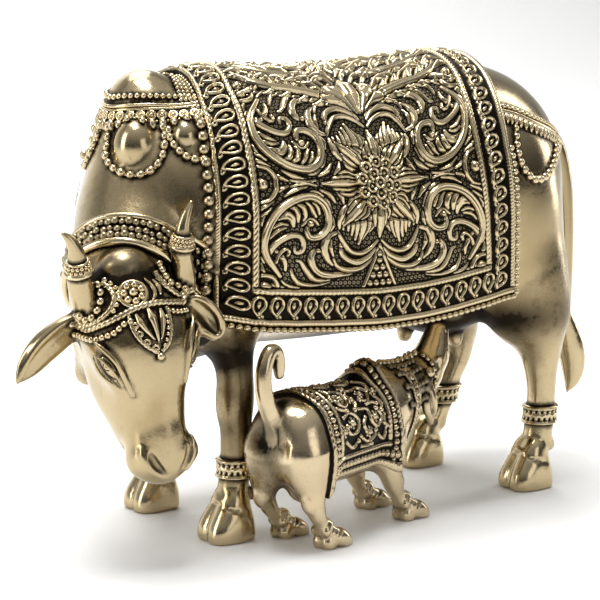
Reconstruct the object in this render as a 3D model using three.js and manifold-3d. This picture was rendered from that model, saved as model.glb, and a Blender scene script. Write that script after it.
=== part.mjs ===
// Kamdhenu cow with her calf: two castings that stand on one surface, millimetres, +Z up.
// The cow faces -X and turns her lowered head to her left (-Y), where the calf drinks.
// Each animal is a blended solid: barrels, limbs and ellipsoids are merged in a distance
// field, the field's surface is polygonised, thinned to a low triangle count, and cut
// flat under the hooves. The origin is the middle of the footprint box, on the ground.
import * as THREE from 'three';
import Module from 'manifold-3d';

// ---------------------------------------------------------------- driving dimensions
const GRID = 1.3;               // spacing of the sampling lattice
const COW_TRIANGLES = 7500;     // target for the cow's shell
const CALF_TRIANGLES = 2250;    // target for the calf's shell
const CONTACT_GAP = 0.9;        // clearance kept between the two castings
const STANCE = 22.9;            // cow: half the distance between left and right legs
const FRONT_HOOF_X = -56.6;     // cow: middle of the front hooves
const REAR_HOOF_X = 62.8;       // cow: near rear hoof
const REAR_STEP = 12.5;         // cow: how far the far rear hoof stands ahead
const CLOTH_THICK = 2.4;        // saddle cloth over the back
const CLOTH_PROUD = 0.8;        // how far its border stands above the field
const CLOTH_BORDER = 10.4;      // width of the border
const CLOTH_HEM = 66.9;         // height of the hem at its lowest
const CLOTH_MIDDLE = -12;       // x of the flower in the middle of each side
const SCROLL_R = 10;            // radius of the four scrolls round it
const CARVING = 1.2;            // how far flower and scrolls stand out of the field
const ANKLET_R = 6.3, ANKLET_H = 6.2;
const HORN_R = 4.4;
const CALF_STANCE = 9;          // calf: half the distance between its legs
const CALF_AT = [-36.5, -38.2, 0];
const CALF_HEADING = [0.946, 0.322, 0];
const HEAD_AT = [-97.9, -30, 89.2];
const HEAD_DOWN = [0.132, -0.243, -0.961];    // from the poll to the muzzle
const HEAD_FRONT = [-0.181, -0.959, 0.218];   // out of the forehead

// ---------------------------------------------------------------- frames
// A frame has its x along `along` and its z as near `up` as a right angle allows.
function makeFrame(at, along, up) {
  const x = new THREE.Vector3(...along).normalize();
  const z = new THREE.Vector3(...up);
  z.addScaledVector(x, -x.dot(z)).normalize();
  const y = new THREE.Vector3().crossVectors(z, x);
  return { at: new THREE.Vector3(...at), x, y, z };
}
const HEAD = makeFrame(HEAD_AT, HEAD_DOWN, HEAD_FRONT);
const CALF = makeFrame(CALF_AT, CALF_HEADING, [0, 0, 1]);
const WORLD = makeFrame([0, 0, 0], [1, 0, 0], [0, 0, 1]);
const toWorld = (f, p) => new THREE.Vector3().copy(f.at)
  .addScaledVector(f.x, p[0]).addScaledVector(f.y, p[1]).addScaledVector(f.z, p[2]);
const dirToWorld = (f, p) => new THREE.Vector3()
  .addScaledVector(f.x, p[0]).addScaledVector(f.y, p[1]).addScaledVector(f.z, p[2]);

// ---------------------------------------------------------------- distance field
const smin = (a, b, k) => {
  const h = Math.min(1, Math.max(0, 0.5 + 0.5 * (b - a) / k));
  return b * (1 - h) + a * h - k * h * (1 - h);
};
const smax = (a, b, k) => -smin(-a, -b, k);

class Field {
  constructor(lo, hi, h) {
    this.h = h;
    this.lo = lo.map(v => Math.floor(v / h) * h);
    this.n = hi.map((v, i) => Math.ceil((v - this.lo[i]) / h) + 1);
    this.v = new Float32Array(this.n[0] * this.n[1] * this.n[2]).fill(6);
  }
  // visit the nodes of a box; fn gets the place and the value and returns the new value
  each(lo, hi, fn) {
    const { h, n, v } = this, a = [], b = [];
    for (let i = 0; i < 3; i++) {
      a[i] = Math.max(0, Math.floor((lo[i] - this.lo[i]) / h));
      b[i] = Math.min(n[i] - 1, Math.ceil((hi[i] - this.lo[i]) / h));
    }
    for (let i = a[0]; i <= b[0]; i++) for (let j = a[1]; j <= b[1]; j++) {
      let q = (i * n[1] + j) * n[2] + a[2];
      const x = this.lo[0] + i * h, y = this.lo[1] + j * h;
      for (let k = a[2]; k <= b[2]; k++, q++) v[q] = fn(x, y, this.lo[2] + k * h, v[q]);
    }
  }
}

// ellipsoid: centre, radii, optional lean about Y in degrees
function ellipsoid(field, frame, blend, c, r, lean = 0) {
  const C = toWorld(frame, c), a = THREE.MathUtils.degToRad(lean);
  const ax = dirToWorld(frame, [Math.cos(a), 0, -Math.sin(a)]);
  const ay = dirToWorld(frame, [0, 1, 0]);
  const az = dirToWorld(frame, [Math.sin(a), 0, Math.cos(a)]);
  const e = Math.max(...r) + blend + 2;
  field.each([C.x - e, C.y - e, C.z - e], [C.x + e, C.y + e, C.z + e], (x, y, z, f) => {
    const dx = x - C.x, dy = y - C.y, dz = z - C.z;
    const p = (ax.x * dx + ax.y * dy + ax.z * dz) / r[0];
    const q = (ay.x * dx + ay.y * dy + ay.z * dz) / r[1];
    const s = (az.x * dx + az.y * dy + az.z * dz) / r[2];
    const k0 = Math.hypot(p, q, s), k1 = Math.hypot(p / r[0], q / r[1], s / r[2]) + 1e-9;
    return smin(f, k0 * (k0 - 1) / k1, blend);
  });
}

// limb: a smooth curve through [x, y, z, radius] knots; `flat` = [nx, ny, nz, f] squeezes
// the section to f along that direction, as for an ear
function limb(field, frame, blend, knots, flat = null, steps = 6) {
  const m = (knots.length - 1) * steps;
  const curve = new THREE.CatmullRomCurve3(knots.map(k => toWorld(frame, k)), false, 'catmullrom', 0.5);
  const radii = new THREE.CatmullRomCurve3(knots.map(k => new THREE.Vector3(k[3], 0, 0)), false, 'catmullrom', 0.5);
  let P = curve.getPoints(m);
  const R = radii.getPoints(m).map(p => Math.max(0.15, p.x));
  const box = new THREE.Box3().setFromPoints(P).expandByScalar(Math.max(...R) + blend + 2);
  const n = flat ? dirToWorld(frame, flat).normalize() : null, g = flat ? 1 / flat[3] - 1 : 0;
  if (flat) P = P.map(p => p.clone().addScaledVector(n, p.dot(n) * g));
  const scale = flat ? 0.5 * (1 + flat[3]) : 1;
  field.each(box.min.toArray(), box.max.toArray(), (x, y, z, f) => {
    if (flat) { const s = (x * n.x + y * n.y + z * n.z) * g; x += s * n.x; y += s * n.y; z += s * n.z; }
    let best = 1e9;
    for (let i = 0; i < m; i++) {
      const a = P[i], b = P[i + 1];
      const ux = b.x - a.x, uy = b.y - a.y, uz = b.z - a.z;
      const L = ux * ux + uy * uy + uz * uz + 1e-9;
      const t = Math.min(1, Math.max(0, ((x - a.x) * ux + (y - a.y) * uy + (z - a.z) * uz) / L));
      const dx = x - a.x - t * ux, dy = y - a.y - t * uy, dz = z - a.z - t * uz;
      const d = Math.sqrt(dx * dx + dy * dy + dz * dz) - (R[i] + (R[i + 1] - R[i]) * t);
      if (d < best) best = d;
    }
    return smin(f, best * scale, blend);
  });
}

// barrel: sections along x, each [x, middle z, half width, height up, height down, power up,
// power down]; the returned function gives the distance at a place in the frame
function barrel(stations) {
  const m = 8 * (stations.length - 1);
  const lines = [[0, 1, 2], [3, 4, 5], [6, 6, 6]].map(c => new THREE.CatmullRomCurve3(
    stations.map(s => new THREE.Vector3(s[c[0]], s[c[1]], s[c[2]])), false, 'catmullrom', 0.5).getPoints(m));
  const x0 = stations[0][0], x1 = stations[stations.length - 1][0];
  const row = x => {
    let i = 0; const T = lines[0];
    if (x <= T[0].x) return [T[0].y, T[0].z, lines[1][0].x, lines[1][0].y, lines[1][0].z, lines[2][0].x];
    while (i < m - 1 && T[i + 1].x < x) i++;
    const t = Math.min(1, (x - T[i].x) / (T[i + 1].x - T[i].x));
    const mix = (l, k) => l[i][k] + (l[i + 1][k] - l[i][k]) * t;
    return [mix(T, 'y'), mix(T, 'z'), mix(lines[1], 'x'), mix(lines[1], 'y'), mix(lines[1], 'z'), mix(lines[2], 'x')];
  };
  let lastX = NaN, R = null;
  return (x, y, z) => {
    if (x !== lastX) { R = row(x); lastX = x; }
    const [zc, hy, up, dn, nu, nd] = R;
    const q = z - zc, hz = q >= 0 ? up : dn, n = q >= 0 ? nu : nd;
    const rho = Math.pow(Math.pow(Math.abs(y) / hy, n) + Math.pow(Math.abs(q) / hz, n), 1 / n) + 1e-6;
    const d = (Math.hypot(y, q) + 1e-6) * (1 - 1 / Math.max(rho, 0.05));
    return Math.max(d, x - x1, x0 - x);
  };
}
function addBarrel(field, frame, stations) {
  const d = barrel(stations), r = 10 + Math.max(...stations.map(s => Math.max(s[2], s[3], s[4])));
  const ends = [stations[0], stations[stations.length - 1]].map(s => toWorld(frame, [s[0], 0, s[1]]));
  const box = new THREE.Box3().setFromPoints(ends).expandByScalar(r + 4);
  field.each(box.min.toArray(), box.max.toArray(), (x, y, z, f) => {
    const dx = x - frame.at.x, dy = y - frame.at.y, dz = z - frame.at.z;
    return smin(f, d(frame.x.x * dx + frame.x.y * dy + frame.x.z * dz,
      frame.y.x * dx + frame.y.y * dy + frame.y.z * dz,
      frame.z.x * dx + frame.z.y * dy + frame.z.z * dz), 0.1);
  });
}

// ---------------------------------------------------------------- polygonising the field
// Each lattice cube is split into six tetrahedra round one diagonal, so that the surface is
// closed wherever it passes.
function polygonise(field) {
  const { n, v, h, lo } = field;
  const dirs = [[1, 0, 0], [0, 1, 0], [0, 0, 1], [1, 1, 0], [1, 0, 1], [0, 1, 1], [1, 1, 1]];
  const step = dirs.map(d => (d[0] * n[1] + d[1]) * n[2] + d[2]);
  const dirOf = {}; dirs.forEach((d, i) => { dirOf[d.join()] = i; });
  const perms = [[0, 1, 2, 1], [1, 2, 0, 1], [2, 0, 1, 1], [0, 2, 1, -1], [2, 1, 0, -1], [1, 0, 2, -1]];
  const tets = perms.map(([a, b, c, s]) => {
    const p = [0, 0, 0], out = [[...p]];
    for (const k of [a, b, c]) { p[k]++; out.push([...p]); }
    return s > 0 ? out : [out[0], out[1], out[3], out[2]];
  });
  const even = [[0, 1, 2, 3], [0, 2, 3, 1], [0, 3, 1, 2], [1, 0, 3, 2], [1, 2, 0, 3], [1, 3, 2, 0],
    [2, 0, 1, 3], [2, 1, 3, 0], [2, 3, 0, 1], [3, 0, 2, 1], [3, 1, 0, 2], [3, 2, 1, 0]];
  for (let i = 0; i < v.length; i++) if (Math.abs(v[i]) < 0.02 * h) v[i] = v[i] < 0 ? -0.02 * h : 0.02 * h;
  const pos = [], tri = [], made = new Map();
  const idx = (i, j, k) => (i * n[1] + j) * n[2] + k;
  for (let i = 0; i < n[0] - 1; i++) for (let j = 0; j < n[1] - 1; j++) for (let k = 0; k < n[2] - 1; k++) {
    const base = idx(i, j, k);
    let m = v[base] < 0 ? 1 : 0, s = m;
    for (let q = 0; q < 7; q++) s += v[base + step[q]] < 0 ? 1 : 0;
    if (s === 0 || s === 8) continue;
    const vert = (A, B) => {
      const p = A[0] + A[1] + A[2] < B[0] + B[1] + B[2] ? A : B, r = p === A ? B : A;
      const d = dirOf[[r[0] - p[0], r[1] - p[1], r[2] - p[2]].join()];
      const q = base + (p[0] * n[1] + p[1]) * n[2] + p[2], key = q * 7 + d;
      let id = made.get(key);
      if (id === undefined) {
        const f0 = v[q], f1 = v[q + step[d]], t = f0 / (f0 - f1);
        id = pos.length / 3;
        pos.push(lo[0] + h * (i + p[0] + t * dirs[d][0]), lo[1] + h * (j + p[1] + t * dirs[d][1]), lo[2] + h * (k + p[2] + t * dirs[d][2]));
        made.set(key, id);
      }
      return id;
    };
    for (const T of tets) {
      const ins = T.map(c => v[base + (c[0] * n[1] + c[1]) * n[2] + c[2]] < 0), c = ins.filter(Boolean).length;
      if (c === 0 || c === 4) continue;
      const order = even.find(o => c === 2 ? ins[o[0]] && ins[o[1]] : (c === 1) === ins[o[0]] && ins.filter((q, w) => w !== o[0]).every(q => q !== ins[o[0]]));
      const [a, b, e, d] = order.map(o => T[o]);
      if (c === 1) tri.push(vert(a, b), vert(a, e), vert(a, d));
      else if (c === 3) tri.push(vert(a, b), vert(a, d), vert(a, e));
      else { const ac = vert(a, e), ad = vert(a, d), bd = vert(b, d), bc = vert(b, e); tri.push(ac, ad, bd, ac, bd, bc); }
    }
  }
  return { pos: Float64Array.from(pos), tri: Int32Array.from(tri) };
}

// ---------------------------------------------------------------- thinning the mesh
// Edges are collapsed in the order of the quadric error, without ever opening the shell or
// turning a face over.
function thin({ pos, tri }, target) {
  const nv = pos.length / 3, nt = tri.length / 3;
  const Q = new Float64Array(nv * 10), faces = Array.from({ length: nv }, () => []);
  const dead = new Uint8Array(nt), gone = new Uint8Array(nv), stamp = new Int32Array(nv);
  const normal = (a, b, c) => {
    const ux = pos[b * 3] - pos[a * 3], uy = pos[b * 3 + 1] - pos[a * 3 + 1], uz = pos[b * 3 + 2] - pos[a * 3 + 2];
    const wx = pos[c * 3] - pos[a * 3], wy = pos[c * 3 + 1] - pos[a * 3 + 1], wz = pos[c * 3 + 2] - pos[a * 3 + 2];
    return [uy * wz - uz * wy, uz * wx - ux * wz, ux * wy - uy * wx];
  };
  for (let t = 0; t < nt; t++) {
    const v = [tri[t * 3], tri[t * 3 + 1], tri[t * 3 + 2]], N = normal(...v), L = Math.hypot(...N);
    for (const a of v) faces[a].push(t);
    if (L < 1e-12) continue;
    const [x, y, z] = N.map(q => q / L), d = -(x * pos[v[0] * 3] + y * pos[v[0] * 3 + 1] + z * pos[v[0] * 3 + 2]);
    const q = [x * x, x * y, x * z, x * d, y * y, y * z, y * d, z * z, z * d, d * d];
    for (const a of v) for (let i = 0; i < 10; i++) Q[a * 10 + i] += q[i] * L * 0.5;
  }
  for (let a = 0; a < nv; a++) {      // a weak pull to the old place keeps flat parts even
    const w = 1e-4, x = pos[a * 3], y = pos[a * 3 + 1], z = pos[a * 3 + 2];
    Q[a * 10] += w; Q[a * 10 + 4] += w; Q[a * 10 + 7] += w;
    Q[a * 10 + 3] -= w * x; Q[a * 10 + 6] -= w * y; Q[a * 10 + 8] -= w * z; Q[a * 10 + 9] += w * (x * x + y * y + z * z);
  }
  const err = (q, x, y, z) => q[0] * x * x + 2 * q[1] * x * y + 2 * q[2] * x * z + 2 * q[3] * x + q[4] * y * y
    + 2 * q[5] * y * z + 2 * q[6] * y + q[7] * z * z + 2 * q[8] * z + q[9];
  const plan = (a, b) => {
    const q = []; for (let i = 0; i < 10; i++) q[i] = Q[a * 10 + i] + Q[b * 10 + i];
    const c = [];
    const det = q[0] * (q[4] * q[7] - q[5] * q[5]) - q[1] * (q[1] * q[7] - q[5] * q[2]) + q[2] * (q[1] * q[5] - q[4] * q[2]);
    const mx = (pos[a * 3] + pos[b * 3]) / 2, my = (pos[a * 3 + 1] + pos[b * 3 + 1]) / 2, mz = (pos[a * 3 + 2] + pos[b * 3 + 2]) / 2;
    const len = Math.hypot(pos[a * 3] - pos[b * 3], pos[a * 3 + 1] - pos[b * 3 + 1], pos[a * 3 + 2] - pos[b * 3 + 2]);
    if (Math.abs(det) > 1e-12) {
      const x = -(q[3] * (q[4] * q[7] - q[5] * q[5]) - q[1] * (q[6] * q[7] - q[5] * q[8]) + q[2] * (q[6] * q[5] - q[4] * q[8])) / det;
      const y = -(q[0] * (q[6] * q[7] - q[8] * q[5]) - q[3] * (q[1] * q[7] - q[5] * q[2]) + q[2] * (q[1] * q[8] - q[6] * q[2])) / det;
      const z = -(q[0] * (q[4] * q[8] - q[5] * q[6]) - q[1] * (q[1] * q[8] - q[6] * q[2]) + q[3] * (q[1] * q[5] - q[4] * q[2])) / det;
      if (Math.hypot(x - mx, y - my, z - mz) < len * 1.5) c.push([x, y, z]);
    }
    c.push([mx, my, mz]);
    let best = null;
    for (const p of c) { const e = err(q, ...p); if (!best || e < best.e - 1e-12) best = { e, p }; }
    return { e: Math.max(0, best.e) + 1e-7 * len * len, p: best.p };
  };
  const heap = [];
  const up = i => { const e = heap[i]; while (i > 0) { const p = (i - 1) >> 1; if (heap[p].e <= e.e) break; heap[i] = heap[p]; i = p; } heap[i] = e; };
  const pop = () => {
    const top = heap[0], e = heap.pop();
    if (heap.length) {
      let i = 0;
      for (;;) { let c = 2 * i + 1; if (c >= heap.length) break; if (c + 1 < heap.length && heap[c + 1].e < heap[c].e) c++; if (heap[c].e >= e.e) break; heap[i] = heap[c]; i = c; }
      heap[i] = e;
    }
    return top;
  };
  const push = (a, b) => { const { e, p } = plan(a, b); heap.push({ e, p, a, b, sa: stamp[a], sb: stamp[b] }); up(heap.length - 1); };
  const ring = a => { const s = new Set(); for (const t of faces[a]) for (let i = 0; i < 3; i++) if (tri[t * 3 + i] !== a) s.add(tri[t * 3 + i]); return s; };
  for (let a = 0; a < nv; a++) for (const b of ring(a)) if (b > a) push(a, b);
  let live = nt;
  while (live > target && heap.length) {
    const { a, b, p, sa, sb } = pop();
    if (gone[a] || gone[b] || stamp[a] !== sa || stamp[b] !== sb) continue;
    const ra = ring(a), rb = ring(b); let shared = 0;
    for (const w of ra) if (rb.has(w)) shared++;
    if (shared !== 2) continue;
    let ok = true;
    for (const [u, o] of [[a, b], [b, a]]) for (const t of faces[u]) {
      const v = [tri[t * 3], tri[t * 3 + 1], tri[t * 3 + 2]];
      if (v.includes(o)) continue;
      const N0 = normal(...v), k = v.indexOf(u), keep = [pos[u * 3], pos[u * 3 + 1], pos[u * 3 + 2]];
      pos[u * 3] = p[0]; pos[u * 3 + 1] = p[1]; pos[u * 3 + 2] = p[2];
      const N1 = normal(...v);
      const e1 = Math.hypot(p[0] - pos[v[(k + 1) % 3] * 3], p[1] - pos[v[(k + 1) % 3] * 3 + 1], p[2] - pos[v[(k + 1) % 3] * 3 + 2]);
      const e2 = Math.hypot(p[0] - pos[v[(k + 2) % 3] * 3], p[1] - pos[v[(k + 2) % 3] * 3 + 1], p[2] - pos[v[(k + 2) % 3] * 3 + 2]);
      pos[u * 3] = keep[0]; pos[u * 3 + 1] = keep[1]; pos[u * 3 + 2] = keep[2];
      const l0 = Math.hypot(...N0), l1 = Math.hypot(...N1), long = Math.max(e1, e2);
      if (l1 < 0.02 * long * long || (N0[0] * N1[0] + N0[1] * N1[1] + N0[2] * N1[2]) < 0.35 * l0 * l1) { ok = false; break; }
    }
    if (!ok) continue;
    pos[a * 3] = p[0]; pos[a * 3 + 1] = p[1]; pos[a * 3 + 2] = p[2];
    for (let i = 0; i < 10; i++) Q[a * 10 + i] += Q[b * 10 + i];
    const keep = faces[a].filter(t => { const both = tri[t * 3] === b || tri[t * 3 + 1] === b || tri[t * 3 + 2] === b; if (both) { dead[t] = 1; live--; } return !both; });
    for (const t of faces[b]) if (!dead[t]) { for (let i = 0; i < 3; i++) if (tri[t * 3 + i] === b) tri[t * 3 + i] = a; keep.push(t); }
    for (const w of ra) faces[w] = faces[w].filter(t => !dead[t]);
    for (const w of rb) faces[w] = faces[w].filter(t => !dead[t]);
    faces[a] = keep; gone[b] = 1; stamp[a]++;
    for (const w of ring(a)) push(a, w);
  }
  const map = new Int32Array(nv).fill(-1), P = [], T = [];
  for (let t = 0; t < nt; t++) if (!dead[t]) for (let i = 0; i < 3; i++) {
    const a = tri[t * 3 + i];
    if (map[a] < 0) { map[a] = P.length / 3; P.push(pos[a * 3], pos[a * 3 + 1], pos[a * 3 + 2]); }
    T.push(map[a]);
  }
  return { pos: P, tri: T };
}

// ---------------------------------------------------------------- the cow
// trunk sections: x, middle z, half width, up, down, power up, power down
const TRUNK = [[-92, 100, 2, 3, 3, 2, 2], [-90, 100, 7, 10, 15, 2, 2], [-86, 100, 13, 20, 26, 2, 2], [-81, 100, 19.5, 29, 34, 2, 2],
  [-74, 100, 26.5, 37, 39, 2, 2.1], [-66, 100, 32, 42.5, 41, 2, 2.1], [-56, 100, 37, 45.5, 42, 2.05, 2.2], [-44, 100, 38.5, 45.2, 40, 2.15, 2.3],
  [-28, 100, 38.8, 44, 40.5, 2.2, 2.2], [-12, 100, 38.8, 43, 41, 2.2, 2.2], [6, 100, 38.8, 43.5, 41, 2.2, 2.2], [22, 100, 38.8, 44.5, 40, 2.2, 2.2],
  [38, 100, 38.3, 45.2, 38, 2.15, 2.2], [48, 100, 37.5, 44, 37, 2.1, 2.2], [57, 100, 35.5, 41.8, 37, 2.05, 2.1], [65, 100, 31.5, 38.6, 37, 2, 2],
  [72, 100, 26, 34, 36, 2, 2], [78, 100, 19.5, 28.5, 33, 2, 2], [82.5, 100, 12.5, 21.5, 27, 2, 2], [85.5, 99, 3, 5, 8, 2, 2]];
// the cloth lies on the same barrel, and its sides hang straight down
const CLOTH = TRUNK.map(s => [s[0], s[1], s[2], s[3], 60, s[5], 7]);
const CLOTH_FRONT = [[60, -67.5], [78, -67.6], [103, -66.8], [122, -65.6], [138, -63.2], [144, -61], [147, -59.5], [156, -58]];   // z, x
const CLOTH_REAR = [[60, 41.5], [85, 41.6], [110, 40.8], [120, 40.8], [129, 41.6], [136, 42.8], [142.5, 44.5], [147, 46.5], [156, 47.5]];   // z, x
const CLOTH_DROP = [[60, 109.7], [84.7, 85], [109.7, 60], [128.4, 40], [141.6, 20], [145.3, 8], [146.5, 0]];   // z, way down from the spine
const along = (table, z) => {
  if (z <= table[0][0]) return table[0][1];
  for (let i = 1; i < table.length; i++) if (z <= table[i][0]) {
    const [a, b] = [table[i - 1], table[i]];
    return a[1] + (b[1] - a[1]) * (z - a[0]) / (b[0] - a[0]);
  }
  return table[table.length - 1][1];
};
// negative inside the cloth's outline, seen from the side
const clothOutline = (x, z) => Math.max(along(CLOTH_FRONT, z) - x, x - along(CLOTH_REAR, z),
  CLOTH_HEM + (x > 0 ? 2 * (x / 42) ** 2 : 3.6 * (x / 64) ** 2) - z);
// the larger carving of the cloth's field: a flower with eight petals and four scrolls that
// open towards it; x, and v down from the spine
function carving(x, v) {
  const X = Math.abs(x - CLOTH_MIDDLE), V = v - 55.5, r = Math.hypot(X, V);
  let h = 0;
  const rise = t => { const q = Math.min(1, Math.max(0, t)); h = Math.max(h, q * q * (3 - 2 * q)); };
  const turn = Math.PI / 4, a = Math.atan2(V, X), b = a - Math.round(a / turn) * turn;
  rise((8 - r) / 3.5);
  rise((3 - Math.abs(r * Math.sin(b)) - Math.abs(r * Math.cos(b) - 10) * 0.4) / 2);
  const sx = X - 29, sv = Math.abs(V) - 12, open = Math.atan2(sv, sx);
  rise((2.4 - Math.abs(Math.hypot(sx, sv) - SCROLL_R)) / 1.8 - Math.max(0, 0.7 - Math.abs(open - 2.4)) * 4);
  return h * CARVING;
}

function frontLeg(F, s) {
  ellipsoid(F, WORLD, 10, [-62, s * 22, 90], [12, 12, 24], 12);
  limb(F, WORLD, 8, [[-58, s * 25, 80, 12], [-56, s * (STANCE - 0.5), 66, 8], [-54.8, s * STANCE, 56, 5.9], [-54.2, s * STANCE, 46, 5.7],
    [-54.2, s * STANCE, 37, 4.9], [-54.4, s * STANCE, 27, 4.7], [-55, s * STANCE, 20, 4.7], [-55.4, s * STANCE, 14.5, 5.0]]);
}
function rearLeg(F, s, way) {
  ellipsoid(F, WORLD, 9, [58, s * 20, 80], [17, 13, 28], -10);
  limb(F, WORLD, 8, [[58, s * (STANCE - 4), 74, 15], ...way.map(([x, y, z, r]) => [x, s * (STANCE + y), z, r])]);
}
// two claws, wider on the ground than at the coronet
function hoof(F, x, y) {
  for (const s of [-1, 1]) {
    limb(F, WORLD, 1.2, [[x + 0.6, y + s * 1.9, 13.6, 3.6], [x - 2.2, y + s * 2.6, 8.5, 4.1], [x - 4.3, y + s * 3.1, 4.4, 4.3], [x - 5.0, y + s * 3.2, 2, 4.2]], null, 4);
    limb(F, WORLD, 1.4, [[x + 2.0, y + s * 2.2, 12.5, 3.4], [x + 2.4, y + s * 2.7, 6, 4.1], [x + 2.5, y + s * 3.0, 2, 4.2]], null, 4);
  }
}
function anklet(F, x, y, z) {
  F.each([x - 9, y - 9, z - 6], [x + 9, y + 9, z + 6], (X, Y, Z, f) =>
    smin(f, smax(Math.hypot(X - x, Y - y) - ANKLET_R, Math.abs(Z - z) - ANKLET_H / 2, 1), 0.3));
}

// a cord of one thickness laid through points
function cord(F, points, r) { limb(F, WORLD, 0.8, points.map(p => [...p, r]), null, 3); }
// the places where rays in a plane leave the body, evened out, as a closed loop
function ringAround(F, centre, normal, count = 40) {
  const u = new THREE.Vector3(0, 0, 1).cross(normal).normalize(), w = new THREE.Vector3().crossVectors(normal, u);
  const value = q => {
    const i = [q.x, q.y, q.z].map((c, k) => Math.min(F.n[k] - 1, Math.max(0, Math.round((c - F.lo[k]) / F.h))));
    return F.v[(i[0] * F.n[1] + i[1]) * F.n[2] + i[2]];
  };
  const far = [];
  for (let k = 0; k < count; k++) {
    const a = 2 * Math.PI * k / count, dir = u.clone().multiplyScalar(Math.cos(a)).addScaledVector(w, Math.sin(a));
    let r = 4;
    while (r < 28 && value(centre.clone().addScaledVector(dir, r)) < 0) r += 0.4;
    far.push(r);
  }
  const even = far.map((r, k) => [-3, -2, -1, 0, 1, 2, 3].reduce((s, j) => s + far[(k + j + count) % count], 0) / 7);
  const loop = even.map((r, k) => centre.clone().addScaledVector(u, Math.cos(2 * Math.PI * k / count) * (r + 0.3)).addScaledVector(w, Math.sin(2 * Math.PI * k / count) * (r + 0.3)));
  return [...loop, loop[0]].map(q => q.toArray());
}

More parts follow.
